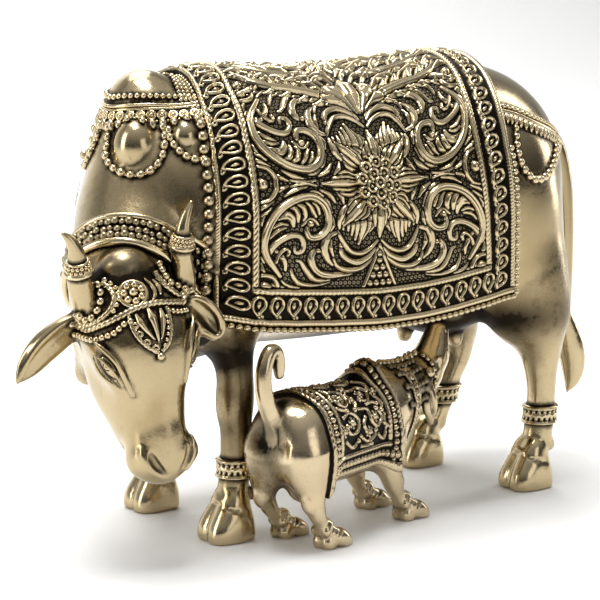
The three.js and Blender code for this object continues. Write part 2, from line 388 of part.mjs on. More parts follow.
function makeCow(F) {
  addBarrel(F, WORLD, TRUNK);
  ellipsoid(F, WORLD, 6, [-73.5, 0, 134], [12.5, 12.5, 14.2]);                                  // hump
  limb(F, WORLD, 10, [[-63, -2, 110, 28.5], [-75, -6, 102, 22.5], [-85, -13, 93, 18.5], [-92, -19, 85, 16]]);   // neck
  limb(F, WORLD, 6, [[-76, 0, 122, 9], [-82, -4, 113, 9], [-87, -10, 103, 9], [-91, -17, 95, 8]]);              // crest
  limb(F, WORLD, 9, [[-90, -12, 76, 12], [-80, -4, 71, 12], [-68, 0, 69, 12], [-56, 0, 66, 9]]);                // throat
  limb(F, WORLD, 5, [[-99, -12, 66, 4], [-97, -4, 55, 3.6], [-88, -1, 57, 4], [-76, 0, 59, 5], [-62, 0, 60, 5]], [0.3, 0.95, 0, 0.5]);   // dewlap
  for (const s of [-1, 1]) frontLeg(F, s);
  rearLeg(F, -1, [[63, -1, 62, 12.5], [65.2, 0, 55, 9.3], [66.8, 0, 47.7, 6.9], [67.3, 0, 40, 5.4], [67.6, 0, 33, 4.7], [67.2, 0, 25, 4.7], [66, 0, 15.5, 5]]);
  rearLeg(F, 1, [[61, -1, 62, 12], [64, 0, 53, 8.4], [66, 0, 45, 6], [65.2, 0, 38, 5.2], [62, 0, 31, 4.7], [59.4, 0, 25, 4.7], [54.5, 0, 15, 5]]);
  ellipsoid(F, WORLD, 6, [37, -3, 61], [14, 16, 8]);                                            // udder
  for (const [x, y, z] of [[30.5, -13, 57], [41, -9, 54.5], [31, 5, 55], [41, 4, 54.5]])
    limb(F, WORLD, 2, [[x, y, z, 3.1], [x - 0.3, y - 0.2, z - 3, 2.6]]);                        // teats
  hoof(F, FRONT_HOOF_X, -STANCE); hoof(F, FRONT_HOOF_X - 1, STANCE);
  hoof(F, REAR_HOOF_X, -STANCE); hoof(F, REAR_HOOF_X - REAR_STEP, STANCE);
  anklet(F, -54.7, -STANCE, 23.3); anklet(F, -54.7, STANCE, 23.3); anklet(F, 67.1, -STANCE, 25); anklet(F, 59.4, STANCE, 24.5);
  limb(F, WORLD, 4, [[72, 0, 124, 6], [80, -0.5, 119, 5], [87.5, -1.5, 112, 4.2], [91.5, -2, 100, 3.5], [93, -2, 86, 3.2], [93.2, -2, 72, 3.1], [93, -2, 60, 2.9], [93, -2, 53.5, 2.3]]);   // tail
  limb(F, WORLD, 1.5, [[93, -2, 53.5, 2.4], [95.3, -2.3, 46, 3.8], [97, -2.6, 38, 4.6], [97.2, -2.8, 31, 3.4], [95, -3, 25, 0.8]], [0.54, 0.84, 0, 0.6]);   // its tuft

  // saddle cloth: whatever stands out of it is cut away first, then the cloth is laid on
  const d = barrel(CLOTH);
  F.each([-76, -46, 62], [50, 46, 156], (x, y, z, f) => {
    const edge = clothOutline(x, z), field = Math.min(1, Math.max(0, (-edge - CLOTH_BORDER) / 0.8));
    const t = CLOTH_THICK + CLOTH_PROUD * (1 - field) + (field > 0.9 ? carving(x, along(CLOTH_DROP, z)) : 0);
    const out = d(x, y, z) - t;
    return smin(Math.max(f, Math.min(out, -edge)), smax(out, edge, 0.8), 0.3);
  });

  // the belt round the hump, with a domed pendant in a ring on each side, and the crupper
  cord(F, [[-62, -16.5, 140.8], [-69, -14.5, 140.5], [-77, -11, 140.4], [-82.3, -6.5, 140], [-84.3, 0, 139.6],
    [-82.3, 6.5, 140], [-77, 11, 140.4], [-69, 14.5, 140.5], [-62, 16.5, 140.8]], 1.5);
  cord(F, [[-65, -20.5, 135], [-73, -18, 134.4], [-79, -13.6, 134.2], [-84, -8.5, 134], [-86.6, 0, 133.4],
    [-84, 8.5, 134], [-79, 13.6, 134.2], [-73, 18, 134.4], [-65, 20.5, 135]], 1.5);
  for (const s of [-1, 1]) {
    ellipsoid(F, WORLD, 2, [-82.5, s * 12.2, 126], [6.5, 6.5, 6]);
    cord(F, [[-87.7, s * 2.5, 130], [-89.6, s * 6.1, 123.3], [-89.2, s * 13.7, 119.3], [-85.4, s * 19.2, 118.5], [-80.5, s * 21.4, 122.3], [-77.4, s * 19.5, 128], [-76.5, s * 16.5, 133]], 1.3);
    cord(F, [[-75, s * 17.5, 133], [-75, s * 21, 128.3], [-74, s * 23.7, 125.8], [-72, s * 25.8, 124], [-67.5, s * 27.5, 123.5]], 1.3);
    cord(F, [[40, s * 30.5, 134], [49.1, s * 27.9, 130.2], [57.9, s * 26.9, 126.2], [67, s * 22, 122.7], [74, s * 17, 120.2], [80, s * 9, 118]], 1.6);
    cord(F, [[46.5, s * 31.6, 125.7], [46, s * 34.6, 118], [48.3, s * 36.1, 111.4], [53.2, s * 35.7, 107.7], [60.4, s * 32.8, 109.4], [67, s * 26.6, 114.6], [72, s * 19, 119.3]], 1.4);
  }

  // collar round the neck: a band between two plain rims
  const axis = new THREE.Vector3(-0.5, -0.62, -0.6).normalize();
  const at = new THREE.Vector3(-91.5, -19.5, 93);
  const p = new THREE.Vector3();
  const rims = [-3.4, 3.4].map(d => ringAround(F, at.clone().addScaledVector(axis, d), axis));
  F.each([-122, -56, 56], [-56, 24, 122], (x, y, z, f) => {
    p.set(x, y, z).sub(at);
    const a = p.dot(axis), r = Math.sqrt(Math.max(0, p.lengthSq() - a * a));
    return smin(f, smax(Math.max(f - 1.2, r - 30), Math.abs(a) - 3.4, 1), 0.2);
  });
  for (const rim of rims) cord(F, rim, 1.7);

  // head, in its own frame
  const H = HEAD;
  ellipsoid(F, H, 6, [13, 0, -5], [18, 16.5, 15]);
  ellipsoid(F, H, 5, [20, 0, 2], [16, 15.5, 9]);
  limb(F, H, 6, [[20, 0, -3, 13.5], [32, 0, -3.5, 12], [44, 0, -4.5, 9.4], [52, 0, -5, 8.2]], [0, 1, 0, 0.94]);
  limb(F, H, 7, [[18, 0, -17, 12.5], [29, -0.5, -16, 13], [40, -1, -13, 10.5], [51, -1, -11, 7.2]]);
  limb(F, H, 4, [[51, -2, -4, 7.8], [55.5, -1.5, -5, 8]], [0, 0, 1, 0.9]);
  limb(F, H, 3, [[55, -4.5, -5, 7], [55, 4, -5, 7]], [1, 0, 0, 0.8]);
  ellipsoid(F, H, 3, [55.5, -1, -12], [6.5, 7.5, 5]);
  ellipsoid(F, H, 3, [-3, 0, 2], [6, 7.5, 6.5]);
  // horns, each with a beaded ring
  limb(F, H, 1.5, [[11, 15.5, -1, HORN_R], [6, 17.6, 1, HORN_R - 0.4], [0.7, 18, 3, 3.5], [-3.6, 17.8, 5.5, 3.2], [-7, 18.6, 7.5, 2.8], [-10.5, 18.9, 9, 2.2], [-14.3, 20.8, 10, 1.6], [-17.5, 23.1, 10.5, 0.9]]);
  limb(F, H, 1.5, [[9, -11.5, -2, HORN_R + 0.6], [3.7, -13.3, 0, HORN_R], [-1.7, -14.7, 3, 3.9], [-7.3, -15, 6, 3.4], [-11.9, -15.2, 8.5, 2.4], [-15.4, -16.6, 10, 1.7], [-17.7, -18.6, 11, 0.9]]);
  limb(F, H, 0.5, [[-5.9, 18.3, 6.9, 4.1], [-7.6, 18.6, 7.8, 4.0]]);
  limb(F, H, 0.5, [[-6.3, -14.9, 5.5, 4.6], [-8.2, -15.1, 6.5, 4.5]]);
  // browband with its medallion and the drop on the forehead
  limb(F, H, 0.8, [[13, -16, 1, 1.7], [14.5, -13, 8, 1.7], [12.5, -7, 12, 1.7], [10.5, 0, 12.6, 1.7], [12.5, 7, 12, 1.7], [14.5, 13, 8, 1.7], [13, 16, 1, 1.7]]);
  ellipsoid(F, H, 1, [6.5, 0, 10.5], [4.6, 5, 3.6]);
  limb(F, H, 1, [[13, 0, 11.3, 3.8], [18, 0, 11, 4.4], [23, 0, 9.8, 2.6], [26.5, 0, 8.6, 1]], [0, 0, 1, 0.5]);
  for (const s of [-1, 1]) {
    limb(F, H, 2, [[18, s * 12, 8.5, 1.4], [23, s * 14.5, 6, 1.7], [28, s * 13.5, 4, 1.4], [33, s * 11, 3, 1]]);
    ellipsoid(F, H, 1, [26, s * 14.6, 1], [3.6, 2.4, 2.6]);
  }
  limb(F, H, 2, [[9, -14, -6, 3.6], [11, -20, -7, 4.6], [14, -27, -7.5, 5], [18, -33, -7.5, 4], [22, -38, -7.5, 1]], [0.35, 0.1, 0.93, 0.45]);   // ears
  limb(F, H, 1.6, [[10.5, 12.5, 1.5, 3.4], [13.4, 16.4, 4.2, 4.2], [17.2, 20, 5.6, 5], [20.8, 21.8, 5.6, 4], [23.6, 22.8, 5.2, 1.6]], [0.1, 0.1, 0.99, 0.5]);
}

// ---------------------------------------------------------------- the calf
const CALF_BODY = [[-19, 37, 2, 3, 3, 2, 2], [-17.5, 36.5, 7, 7.5, 10, 2, 2], [-14, 36, 10.5, 11, 14, 2, 2], [-8, 35.5, 12.8, 13, 16.5, 2, 2],
  [0, 35, 13.3, 13.5, 17.5, 2, 2], [10, 34.5, 13, 12.7, 17.5, 2, 2], [20, 34.5, 12.8, 12.6, 17.5, 2, 2], [30, 35, 12.3, 14, 17, 2, 2],
  [38, 35.5, 10.8, 13, 16, 2, 2], [44, 36, 8, 10.5, 13, 2, 2], [47, 36, 3, 5, 6, 2, 2]];

function makeCalf(F) {
  const K = CALF, S = CALF_STANCE;
  addBarrel(F, K, CALF_BODY);
  ellipsoid(F, K, 3.5, [29.5, 0, 47], [6.5, 5, 5.4]);
  limb(F, K, 5, [[38, 0, 38.5, 10.6], [46, 0, 40.3, 9], [53, 0, 42, 7.8], [60, 0, 44, 6.6]]);
  limb(F, K, 3, [[60, 0, 43.5, 6.2], [64.5, 0, 48, 5.7], [67.3, 0, 52.5, 4.8], [69, 0, 56.5, 3.8]]);
  ellipsoid(F, K, 3, [66.5, 0, 48], [5, 4.6, 5]);
  limb(F, K, 3, [[54, 0, 35, 3.5], [49, 0, 27, 4], [44, 0, 22, 4]], [0, 1, 0, 0.5]);
  for (const s of [-1, 1]) ellipsoid(F, K, 4, [-9, s * 7, 32], [10, 6.5, 13], 10);
  limb(F, K, 4, [[-10, -7, 30, 8], [-9.5, -S, 22, 5.8], [-8.6, -S - 0.5, 16, 4.2], [-8.4, -S - 0.5, 10, 3.2], [-5, -S - 0.3, 5.5, 2.9], [-3, -S, 3, 3]]);
  limb(F, K, 4, [[-11, 7, 30, 8], [-10.5, S, 21, 5.4], [-9.5, S, 15, 4], [-8, S, 10, 3.2], [-3.5, S, 5.5, 2.8], [-1, S, 3, 2.9]]);
  limb(F, K, 4, [[30, -6, 28, 8], [30.5, -8.5, 19, 5], [31.5, -S, 13, 4.1], [34.5, -S, 7.5, 2.8], [39, -S, 3.5, 2.8]]);
  limb(F, K, 4, [[31, 6, 28, 8], [33, 8.5, 18, 5], [36, S, 11, 3.6], [40, S, 6, 2.8], [43, S, 3.5, 2.8]]);
  for (const [x, y] of [[0, -S], [2.5, S], [42.5, -S], [45.5, S]]) limb(F, K, 1.2, [[x - 3.5, y, 2.6, 2.8], [x + 2.2, y, 1.2, 2.9]]);
  // its saddle cloth
  const d = new THREE.Vector3();
  F.each([-66, -60, 14], [4, 0, 60], (x, y, z, f) => {
    d.set(x, y, z).sub(K.at);
    const lx = d.dot(K.x), edge = Math.max(-8.5 - lx, lx - 30.5, 20.5 - z);
    return smin(f, smax(f - 1 - 0.5 * (1 - Math.min(1, Math.max(0, (-edge - 4) / 0.6))), edge, 0.6), 0.2);
  });
  for (const s of [-1, 1]) limb(F, K, 1, [[55, s * 5.5, 45, 1.8], [52.5, s * 8, 41, 2.3], [52.5, s * 9, 35.5, 2.9], [54, s * 8.5, 29.5, 1.2]], [0.4, 0.9, 0, 0.5]);
  limb(F, K, 2.5, [[-16, 0, 41, 3.6], [-20.5, 0, 46, 2.9], [-23.5, 0, 53, 2.7], [-23, 0, 60, 2.7], [-19.5, 0, 64.4, 2.7], [-16, 0, 62.4, 2.5], [-15.4, 0, 57.5, 2.3], [-15.4, 0, 52, 2.1]]);
}

// ---------------------------------------------------------------- solids
const wasm = await Module();
wasm.setup();

// keep what is above the ground: the soles come out flat
function cutAtGround({ pos, tri }) {
  const solid = new wasm.Manifold(new wasm.Mesh({ numProp: 3, vertProperties: Float32Array.from(pos), triVerts: Uint32Array.from(tri) }));
  const block = new THREE.BoxGeometry(600, 600, 400).translate(0, 0, 200);
  const corners = [], index = [], seen = new Map(), P = block.attributes.position;
  for (let i = 0; i < P.count; i++) {
    const key = [P.getX(i), P.getY(i), P.getZ(i)].join();
    if (!seen.has(key)) { seen.set(key, corners.length / 3); corners.push(P.getX(i), P.getY(i), P.getZ(i)); }
    index[i] = seen.get(key);
  }
  const box = new wasm.Manifold(new wasm.Mesh({ numProp: 3, vertProperties: Float32Array.from(corners), triVerts: Uint32Array.from(block.index.array, i => index[i]) }));
  const parts = solid.intersect(box).decompose();
  parts.sort((a, b) => b.numTri() - a.numTri());
  const m = parts[0].getMesh();
  const g = new THREE.BufferGeometry();
  const xyz = new Float32Array(m.numVert * 3);
  for (let i = 0; i < m.numVert; i++) for (let k = 0; k < 3; k++) xyz[i * 3 + k] = m.vertProperties[i * m.numProp + k];
  g.setAttribute('position', new THREE.BufferAttribute(xyz, 3));
  g.setIndex(Array.from(m.triVerts));
  return g;
}

const cowField = new Field([-138, -60, -6], [108, 48, 158], GRID);
makeCow(cowField);
const calfField = new Field([-138, -60, -6], [108, 48, 158], GRID);
makeCalf(calfField);
for (let i = 0; i < calfField.v.length; i++) calfField.v[i] = Math.max(calfField.v[i], CONTACT_GAP - cowField.v[i]);

const cowShape = cutAtGround(thin(polygonise(cowField), COW_TRIANGLES));
const calfShape = cutAtGround(thin(polygonise(calfField), CALF_TRIANGLES));

// the origin goes to the middle of the footprint box, on the ground
const bounds = new THREE.Box3();
for (const g of [cowShape, calfShape]) { g.computeBoundingBox(); bounds.union(g.boundingBox); }
const middle = bounds.getCenter(new THREE.Vector3());
for (const g of [cowShape, calfShape]) { g.translate(-middle.x, -middle.y, 0); g.computeVertexNormals(); }

const group = new THREE.Group();
const cow = new THREE.Mesh(cowShape, new THREE.MeshStandardMaterial({ color: 0xb59a62, roughness: 0.35, metalness: 1.0 }));
cow.name = 'cow';
const calf = new THREE.Mesh(calfShape, new THREE.MeshStandardMaterial({ color: 0x9c7f4c, roughness: 0.35, metalness: 1.0 }));
calf.name = 'calf';
group.add(cow, calf);
export default group;
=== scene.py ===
import math
import bpy
import bmesh
import numpy as np
from mathutils import Matrix
from mathutils.kdtree import KDTree


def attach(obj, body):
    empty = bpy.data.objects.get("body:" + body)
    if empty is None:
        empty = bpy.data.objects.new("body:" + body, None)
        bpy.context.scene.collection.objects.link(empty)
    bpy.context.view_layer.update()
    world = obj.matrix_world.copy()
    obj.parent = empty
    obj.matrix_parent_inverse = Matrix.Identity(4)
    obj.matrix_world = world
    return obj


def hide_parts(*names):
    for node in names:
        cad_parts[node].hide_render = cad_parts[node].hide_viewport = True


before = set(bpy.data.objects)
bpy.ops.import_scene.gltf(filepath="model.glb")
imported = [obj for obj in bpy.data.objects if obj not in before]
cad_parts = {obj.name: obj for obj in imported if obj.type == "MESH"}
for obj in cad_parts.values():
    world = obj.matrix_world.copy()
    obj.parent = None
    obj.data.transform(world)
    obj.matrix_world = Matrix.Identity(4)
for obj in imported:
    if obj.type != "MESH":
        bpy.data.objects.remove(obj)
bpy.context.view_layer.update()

MIDDLE = np.array([14.7766, 6.9861, 0.0])   # the animals' own millimetres to the shared frame
rng = np.random.default_rng(7)

# ------------------------------------------------------------------ distance fields
def smin(a, b, k):
    h = np.clip(0.5 + 0.5 * (b - a) / k, 0, 1)
    return b * (1 - h) + a * h - k * h * (1 - h)


def smax(a, b, k):
    return -smin(-a, -b, k)


def rotm(deg):
    x, y, z = [math.radians(v) for v in deg]
    cx, sx, cy, sy, cz, sz = math.cos(x), math.sin(x), math.cos(y), math.sin(y), math.cos(z), math.sin(z)
    Rx = np.array([[1, 0, 0], [0, cx, -sx], [0, sx, cx]])
    Ry = np.array([[cy, 0, sy], [0, 1, 0], [-sy, 0, cy]])
    Rz = np.array([[cz, -sz, 0], [sz, cz, 0], [0, 0, 1]])
    return Rz @ Ry @ Rx


def catmull(pts, n, closed=False):
    P = np.array(pts, float)
    m = len(P)
    out = []
    for i in range(m if closed else m - 1):
        if closed:
            p0, p1, p2, p3 = P[i - 1], P[i], P[(i + 1) % m], P[(i + 2) % m]
        else:
            p0, p1, p2, p3 = P[max(i - 1, 0)], P[i], P[i + 1], P[min(i + 2, m - 1)]
            if i == 0:
                p0 = 2 * p1 - p2
            if i == m - 2:
                p3 = 2 * p2 - p1
        for j in range(n):
            t = j / n
            out.append(0.5 * ((2 * p1) + (-p0 + p2) * t + (2 * p0 - 5 * p1 + 4 * p2 - p3) * t * t + (-p0 + 3 * p1 - 3 * p2 + p3) * t ** 3))
    if not closed:
        out.append(P[-1])
    return np.array(out)


def axis(*runs):
    """Places of the lattice: runs of (start, end, spacing)."""
    out = []
    for a, b, h in runs:
        n = max(1, round((b - a) / h))
        out += list(a + (b - a) * np.arange(n) / n)
    out.append(runs[-1][1])
    return np.array(out, np.float32)


class Field:
    def __init__(s, ax):
        s.ax = ax
        s.F = np.full([len(a) for a in ax], 6.0, np.float32)

    def box(s, lo, hi):
        sl = []
        for k in range(3):
            a = max(0, np.searchsorted(s.ax[k], lo[k]) - 1)
            b = min(len(s.ax[k]), np.searchsorted(s.ax[k], hi[k]) + 1)
            sl.append(slice(a, max(b, a)))
        return tuple(sl), s.ax[0][sl[0]][:, None, None], s.ax[1][sl[1]][None, :, None], s.ax[2][sl[2]][None, None, :]

    def sample(s, P):
        i, t = [], []
        for k in range(3):
            a = s.ax[k]
            q = np.clip(np.searchsorted(a, P[:, k], side='right') - 1, 0, len(a) - 2)
            i.append(q)
            t.append(np.clip((P[:, k] - a[q]) / (a[q + 1] - a[q]), 0, 1))
        o = 0
        for a in (0, 1):
            for b in (0, 1):
                for c in (0, 1):
                    w = (t[0] if a else 1 - t[0]) * (t[1] if b else 1 - t[1]) * (t[2] if c else 1 - t[2])
                    o = o + w * s.F[i[0] + a, i[1] + b, i[2] + c]
        return o

    def grad(s, P, e=0.7):
        g = np.zeros_like(P)
        for k in range(3):
            o = np.zeros(3)
            o[k] = e
            g[:, k] = (s.sample(P + o) - s.sample(P - o)) / (2 * e)
        return g

    def add(s, kind, k, *a, M=None, cut=False):
        fn = {'ell': s._ell, 'tube': s._tube, 'loft': s._loft}[kind]
        sl, d = fn(k, M, *a)
        cur = s.F[sl]
        s.F[sl] = smax(cur, -d, k) if cut else smin(cur, d, k)

    def _ell(s, k, M, c, r, deg=(0, 0, 0)):
        c, r, R = np.array(c, float), np.array(r, float), rotm(deg)
        if M is not None:
            c, R = M[0] @ c + M[1], M[0] @ R
        ext = np.sqrt(((R * r) ** 2).sum(1)) + k + 2
        sl, X, Y, Z = s.box(c - ext, c + ext)
        x, y, z = X - c[0], Y - c[1], Z - c[2]
        x, y, z = (R[0, 0] * x + R[1, 0] * y + R[2, 0] * z, R[0, 1] * x + R[1, 1] * y + R[2, 1] * z, R[0, 2] * x + R[1, 2] * y + R[2, 2] * z)
        k0 = np.sqrt((x / r[0]) ** 2 + (y / r[1]) ** 2 + (z / r[2]) ** 2)
        k1 = np.sqrt((x / r[0] ** 2) ** 2 + (y / r[1] ** 2) ** 2 + (z / r[2] ** 2) ** 2) + 1e-9
        return sl, k0 * (k0 - 1) / k1

    def _tube(s, k, M, pts, flat=None, n=6):
        q = catmull(pts, n)
        q[:, 3] = np.maximum(q[:, 3], 0.15)
        if M is not None:
            q[:, :3] = q[:, :3] @ M[0].T + M[1]
            if flat is not None:
                flat = [*(M[0] @ np.array(flat[:3], float)), flat[3]]
        ext = q[:, 3].max() + k + 2
        sl, X, Y, Z = s.box(q[:, :3].min(0) - ext, q[:, :3].max(0) + ext)
        P = q[:, :3]
        if flat is not None:
            f = np.array(flat[:3], float)
            f /= np.linalg.norm(f)
            g = 1 / flat[3] - 1
            w = (X * f[0] + Y * f[1] + Z * f[2]) * g
            X, Y, Z = X + w * f[0], Y + w * f[1], Z + w * f[2]
            P = P + ((P @ f) * g)[:, None] * f
        D = None
        for i in range(len(P) - 1):
            a, ab = P[i], P[i + 1] - P[i]
            L = float(ab @ ab) + 1e-9
            t = np.clip(((X - a[0]) * ab[0] + (Y - a[1]) * ab[1] + (Z - a[2]) * ab[2]) / L, 0, 1)
            d = np.sqrt((X - a[0] - t * ab[0]) ** 2 + (Y - a[1] - t * ab[1]) ** 2 + (Z - a[2] - t * ab[2]) ** 2) - (q[i, 3] + (q[i + 1, 3] - q[i, 3]) * t)
            D = d if D is None else np.minimum(D, d)
        return sl, D * (0.5 * (1 + flat[3])) if flat is not None else D

    def _loft(s, k, M, st):
        st = np.array(st, float)
        lo = np.array([st[0, 0] - k - 2, -st[:, 2].max() - k - 2, (st[:, 1] - st[:, 4]).min() - k - 2])
        hi = np.array([st[-1, 0] + k + 2, st[:, 2].max() + k + 2, (st[:, 1] + st[:, 3]).max() + k + 2])
        if M is None:
            sl, X, Y, Z = s.box(lo, hi)
        else:
            cs = np.array([[(lo, hi)[i][0], (lo, hi)[j][1], (lo, hi)[m][2]] for i in (0, 1) for j in (0, 1) for m in (0, 1)]) @ M[0].T + M[1]
            sl, X, Y, Z = s.box(cs.min(0), cs.max(0))
            R = M[0]
            x, y, z = X - M[1][0], Y - M[1][1], Z - M[1][2]
            X, Y, Z = (R[0, 0] * x + R[1, 0] * y + R[2, 0] * z, R[0, 1] * x + R[1, 1] * y + R[2, 1] * z, R[0, 2] * x + R[1, 2] * y + R[2, 2] * z)
        return sl, loft_d(X, Y, Z, st)

    def nets(s):
        """Surface nets: quads round every sign change, moved on to the surface; returns places, quads and normals."""
        F, n = s.F, s.F.shape
        sg = F < 0
        tot = np.zeros(np.array(n) - 1, np.int8)
        for i in (0, 1):
            for j in (0, 1):
                for k in (0, 1):
                    tot += sg[i:n[0] - 1 + i, j:n[1] - 1 + j, k:n[2] - 1 + k]
        act = (tot > 0) & (tot < 8)
        idx = np.argwhere(act)
        ID = np.full(act.shape, -1, np.int64)
        ID[act] = np.arange(len(idx))
        acc, w = np.zeros((len(idx), 3)), np.zeros(len(idx))
        for ax in range(3):
            o = [a for a in range(3) if a != ax]
            for da in (0, 1):
                for db in (0, 1):
                    p0 = idx.copy()
                    p0[:, o[0]] += da
                    p0[:, o[1]] += db
                    p1 = p0.copy()
                    p1[:, ax] += 1
                    f0, f1 = F[tuple(p0.T)].astype(float), F[tuple(p1.T)].astype(float)
                    m = (f0 < 0) != (f1 < 0)
                    q = p0[m].astype(float)
                    q[:, ax] += f0[m] / (f0[m] - f1[m])
                    acc[m] += q
                    w[m] += 1
        V = acc / w[:, None]
        V = np.stack([np.interp(V[:, k], np.arange(n[k]), s.ax[k]) for k in range(3)], 1)
        quads = []
        for ax in range(3):
            a, b = [x for x in range(3) if x != ax]
            s0, s1 = [slice(None)] * 3, [slice(None)] * 3
            s0[ax], s1[ax] = slice(0, n[ax] - 1), slice(1, n[ax])
            for o in (a, b):
                s0[o] = s1[o] = slice(1, n[o] - 1)
            f0, f1 = sg[tuple(s0)], sg[tuple(s1)]
            e = np.argwhere(f0 != f1)
            inside = f0[tuple(e.T)]
            g = e.copy()
            g[:, a] += 1
            g[:, b] += 1

            def cell(da, db):
                q = g.copy()
                q[:, a] -= da
                q[:, b] -= db
                return ID[tuple(q.T)]
            q = np.stack([cell(1, 1), cell(0, 1), cell(0, 0), cell(1, 0)], 1)
            flip = inside if ax != 1 else ~inside
            q[~flip] = q[~flip][:, ::-1]
            quads.append(q)
        Q = np.concatenate(quads)
        for _ in range(2):
            d, g = s.sample(V), s.grad(V, 0.5)
            V -= g * np.clip(d / ((g * g).sum(1) + 1e-6), -0.4, 0.4)[:, None]
        N = s.grad(V, 0.6)
        N /= np.linalg.norm(N, axis=1, keepdims=True) + 1e-9
        return V, Q, N


def loft_d(X, Y, Z, st):
    fine = catmull(st, 8)
    zc, hy, up, dn, nu, nd = [np.interp(X, fine[:, 0], fine[:, k]).astype(np.float32) for k in range(1, 7)]
    q = Z - zc
    top = q >= 0
    hz, n = np.where(top, up, dn), np.where(top, nu, nd)
    rho = ((np.abs(Y) / hy) ** n + (np.abs(q) / hz) ** n) ** (1 / n) + 1e-6
    d = (np.sqrt(Y * Y + q * q) + 1e-6) * (1 - 1 / np.maximum(rho, 0.05))
    return np.maximum(d, np.maximum(X - st[-1, 0], st[0, 0] - X))


def snap(F, P, lift=0.0):
    """Points moved on to the surface, then lifted off it; also the normals."""
    P = np.array(P, float)
    for _ in range(8):
        d, g = F.sample(P), F.grad(P)
        P -= g * np.clip(d / ((g * g).sum(1) + 1e-3), -1.5, 1.5)[:, None]
    N = F.grad(P)
    N /= np.linalg.norm(N, axis=1, keepdims=True) + 1e-9
    return P + N * lift, N


# ------------------------------------------------------------------ frames and tables
def frame_of(o, x, z):
    x = np.array(x, float)
    x /= np.linalg.norm(x)
    z = np.array(z, float)
    z -= x * (z @ x)
    z /= np.linalg.norm(z)
    return (np.stack([x, np.cross(z, x), z], 1), np.array(o, float))


HEAD = frame_of((-97.9, -30, 89.2), (0.132, -0.243, -0.961), (-0.181, -0.959, 0.218))   # x to the muzzle, z out of the forehead
CALF = frame_of((-36.5, -38.2, 0), (0.946, 0.322, 0), (0, 0, 1))
TRUNK = [(-92, 100, 2, 3, 3, 2, 2), (-90, 100, 7, 10, 15, 2, 2), (-86, 100, 13, 20, 26, 2, 2), (-81, 100, 19.5, 29, 34, 2, 2), (-74, 100, 26.5, 37, 39, 2, 2.1),
         (-66, 100, 32, 42.5, 41, 2, 2.1), (-56, 100, 37, 45.5, 42, 2.05, 2.2), (-44, 100, 38.5, 45.2, 40, 2.15, 2.3), (-28, 100, 38.8, 44, 40.5, 2.2, 2.2),
         (-12, 100, 38.8, 43, 41, 2.2, 2.2), (6, 100, 38.8, 43.5, 41, 2.2, 2.2), (22, 100, 38.8, 44.5, 40, 2.2, 2.2), (38, 100, 38.3, 45.2, 38, 2.15, 2.2),
         (48, 100, 37.5, 44, 37, 2.1, 2.2), (57, 100, 35.5, 41.8, 37, 2.05, 2.1), (65, 100, 31.5, 38.6, 37, 2, 2), (72, 100, 26, 34, 36, 2, 2),
         (78, 100, 19.5, 28.5, 33, 2, 2), (82.5, 100, 12.5, 21.5, 27, 2, 2), (85.5, 99, 3, 5, 8, 2, 2)]
CLOTH = [(a, b, c, d, 60, f, 7) for a, b, c, d, e, f, g in TRUNK]
STANCE = 22.9
GROUND = 2.0      # how far the ground of the carving lies off the barrel


def head_to(P):
    return np.array(P, float) @ HEAD[0].T + HEAD[1]


def calf_to(P):
    return np.array(P, float) @ CALF[0].T + CALF[1]


def mirror(P):
    P = np.array(P, float).copy()
    P[..., 1] *= -1
    return P


# ------------------------------------------------------------------ meshes
class Kit:
    """Gathers small shapes into one piece, each vertex with its share of dark: patina in the hollows, and painted shade
    under and between parts.
    """
    def __init__(s):
        s.V, s.Q, s.T, s.C, s.n = [], [], [], [], 0

    def add(s, V, Q=None, T=None, patina_and_shade=0.0):
        V = np.asarray(V, float)
        if Q is not None and len(Q):
            s.Q.append(np.asarray(Q) + s.n)
        if T is not None and len(T):
            s.T.append(np.asarray(T) + s.n)
        s.C.append(np.broadcast_to(np.asarray(patina_and_shade, float), (len(V),)).copy())
        s.V.append(V)
        s.n += len(V)

    def arrays(s):
        z4, z3 = np.zeros((0, 4), int), np.zeros((0, 3), int)
        return np.concatenate(s.V), np.concatenate(s.Q) if s.Q else z4, np.concatenate(s.T) if s.T else z3, np.concatenate(s.C)


def make(name, V, Q, T, patina_and_shade, mat, node, N=None, extra=None):
    Q = np.zeros((0, 4), int) if Q is None else Q
    T = np.zeros((0, 3), int) if T is None else T
    me = bpy.data.meshes.new(name)
    co = ((V + MIDDLE) * 0.001).astype(np.float32)
    loops = np.concatenate([Q.ravel(), T.ravel()]).astype(np.int32)
    starts = np.concatenate([np.arange(len(Q)) * 4, len(Q) * 4 + np.arange(len(T)) * 3]).astype(np.int32)
    me.vertices.add(len(co))
    me.vertices.foreach_set('co', co.ravel())
    me.loops.add(len(loops))
    me.loops.foreach_set('vertex_index', loops)
    me.polygons.add(len(starts))
    me.polygons.foreach_set('loop_start', starts)
    me.polygons.foreach_set('use_smooth', np.ones(len(starts), bool))
    for key, val in [('patina_and_shade', patina_and_shade)] + list((extra or {}).items()):
        at = me.attributes.new(key, 'FLOAT', 'POINT')
        at.data.foreach_set('value', np.ascontiguousarray(val, dtype=np.float32))
    me.update(calc_edges=True)
    if N is not None:
        me.normals_split_custom_set_from_vertices(N.astype(np.float32))
    me.materials.append(mat)
    o = bpy.data.objects.new(name, me)
    bpy.context.scene.collection.objects.link(o)
    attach(o, "root")
    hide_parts(node)
    print(name, 'triangles', 2 * len(Q) + len(T))
    return o


def make_kit(name, kit, mat, node):
    V, Q, T, C = kit.arrays()
    return make(name, V, Q, T, C, mat, node)


def ico(sub):
    bm = bmesh.new()
    bmesh.ops.create_icosphere(bm, subdivisions=sub, radius=1)
    V = np.array([v.co[:] for v in bm.verts])
    T = np.array([[v.index for v in f.verts] for f in bm.faces])
    bm.free()
    return V, T


ICO = {1: ico(1), 2: ico(2), 3: ico(3)}


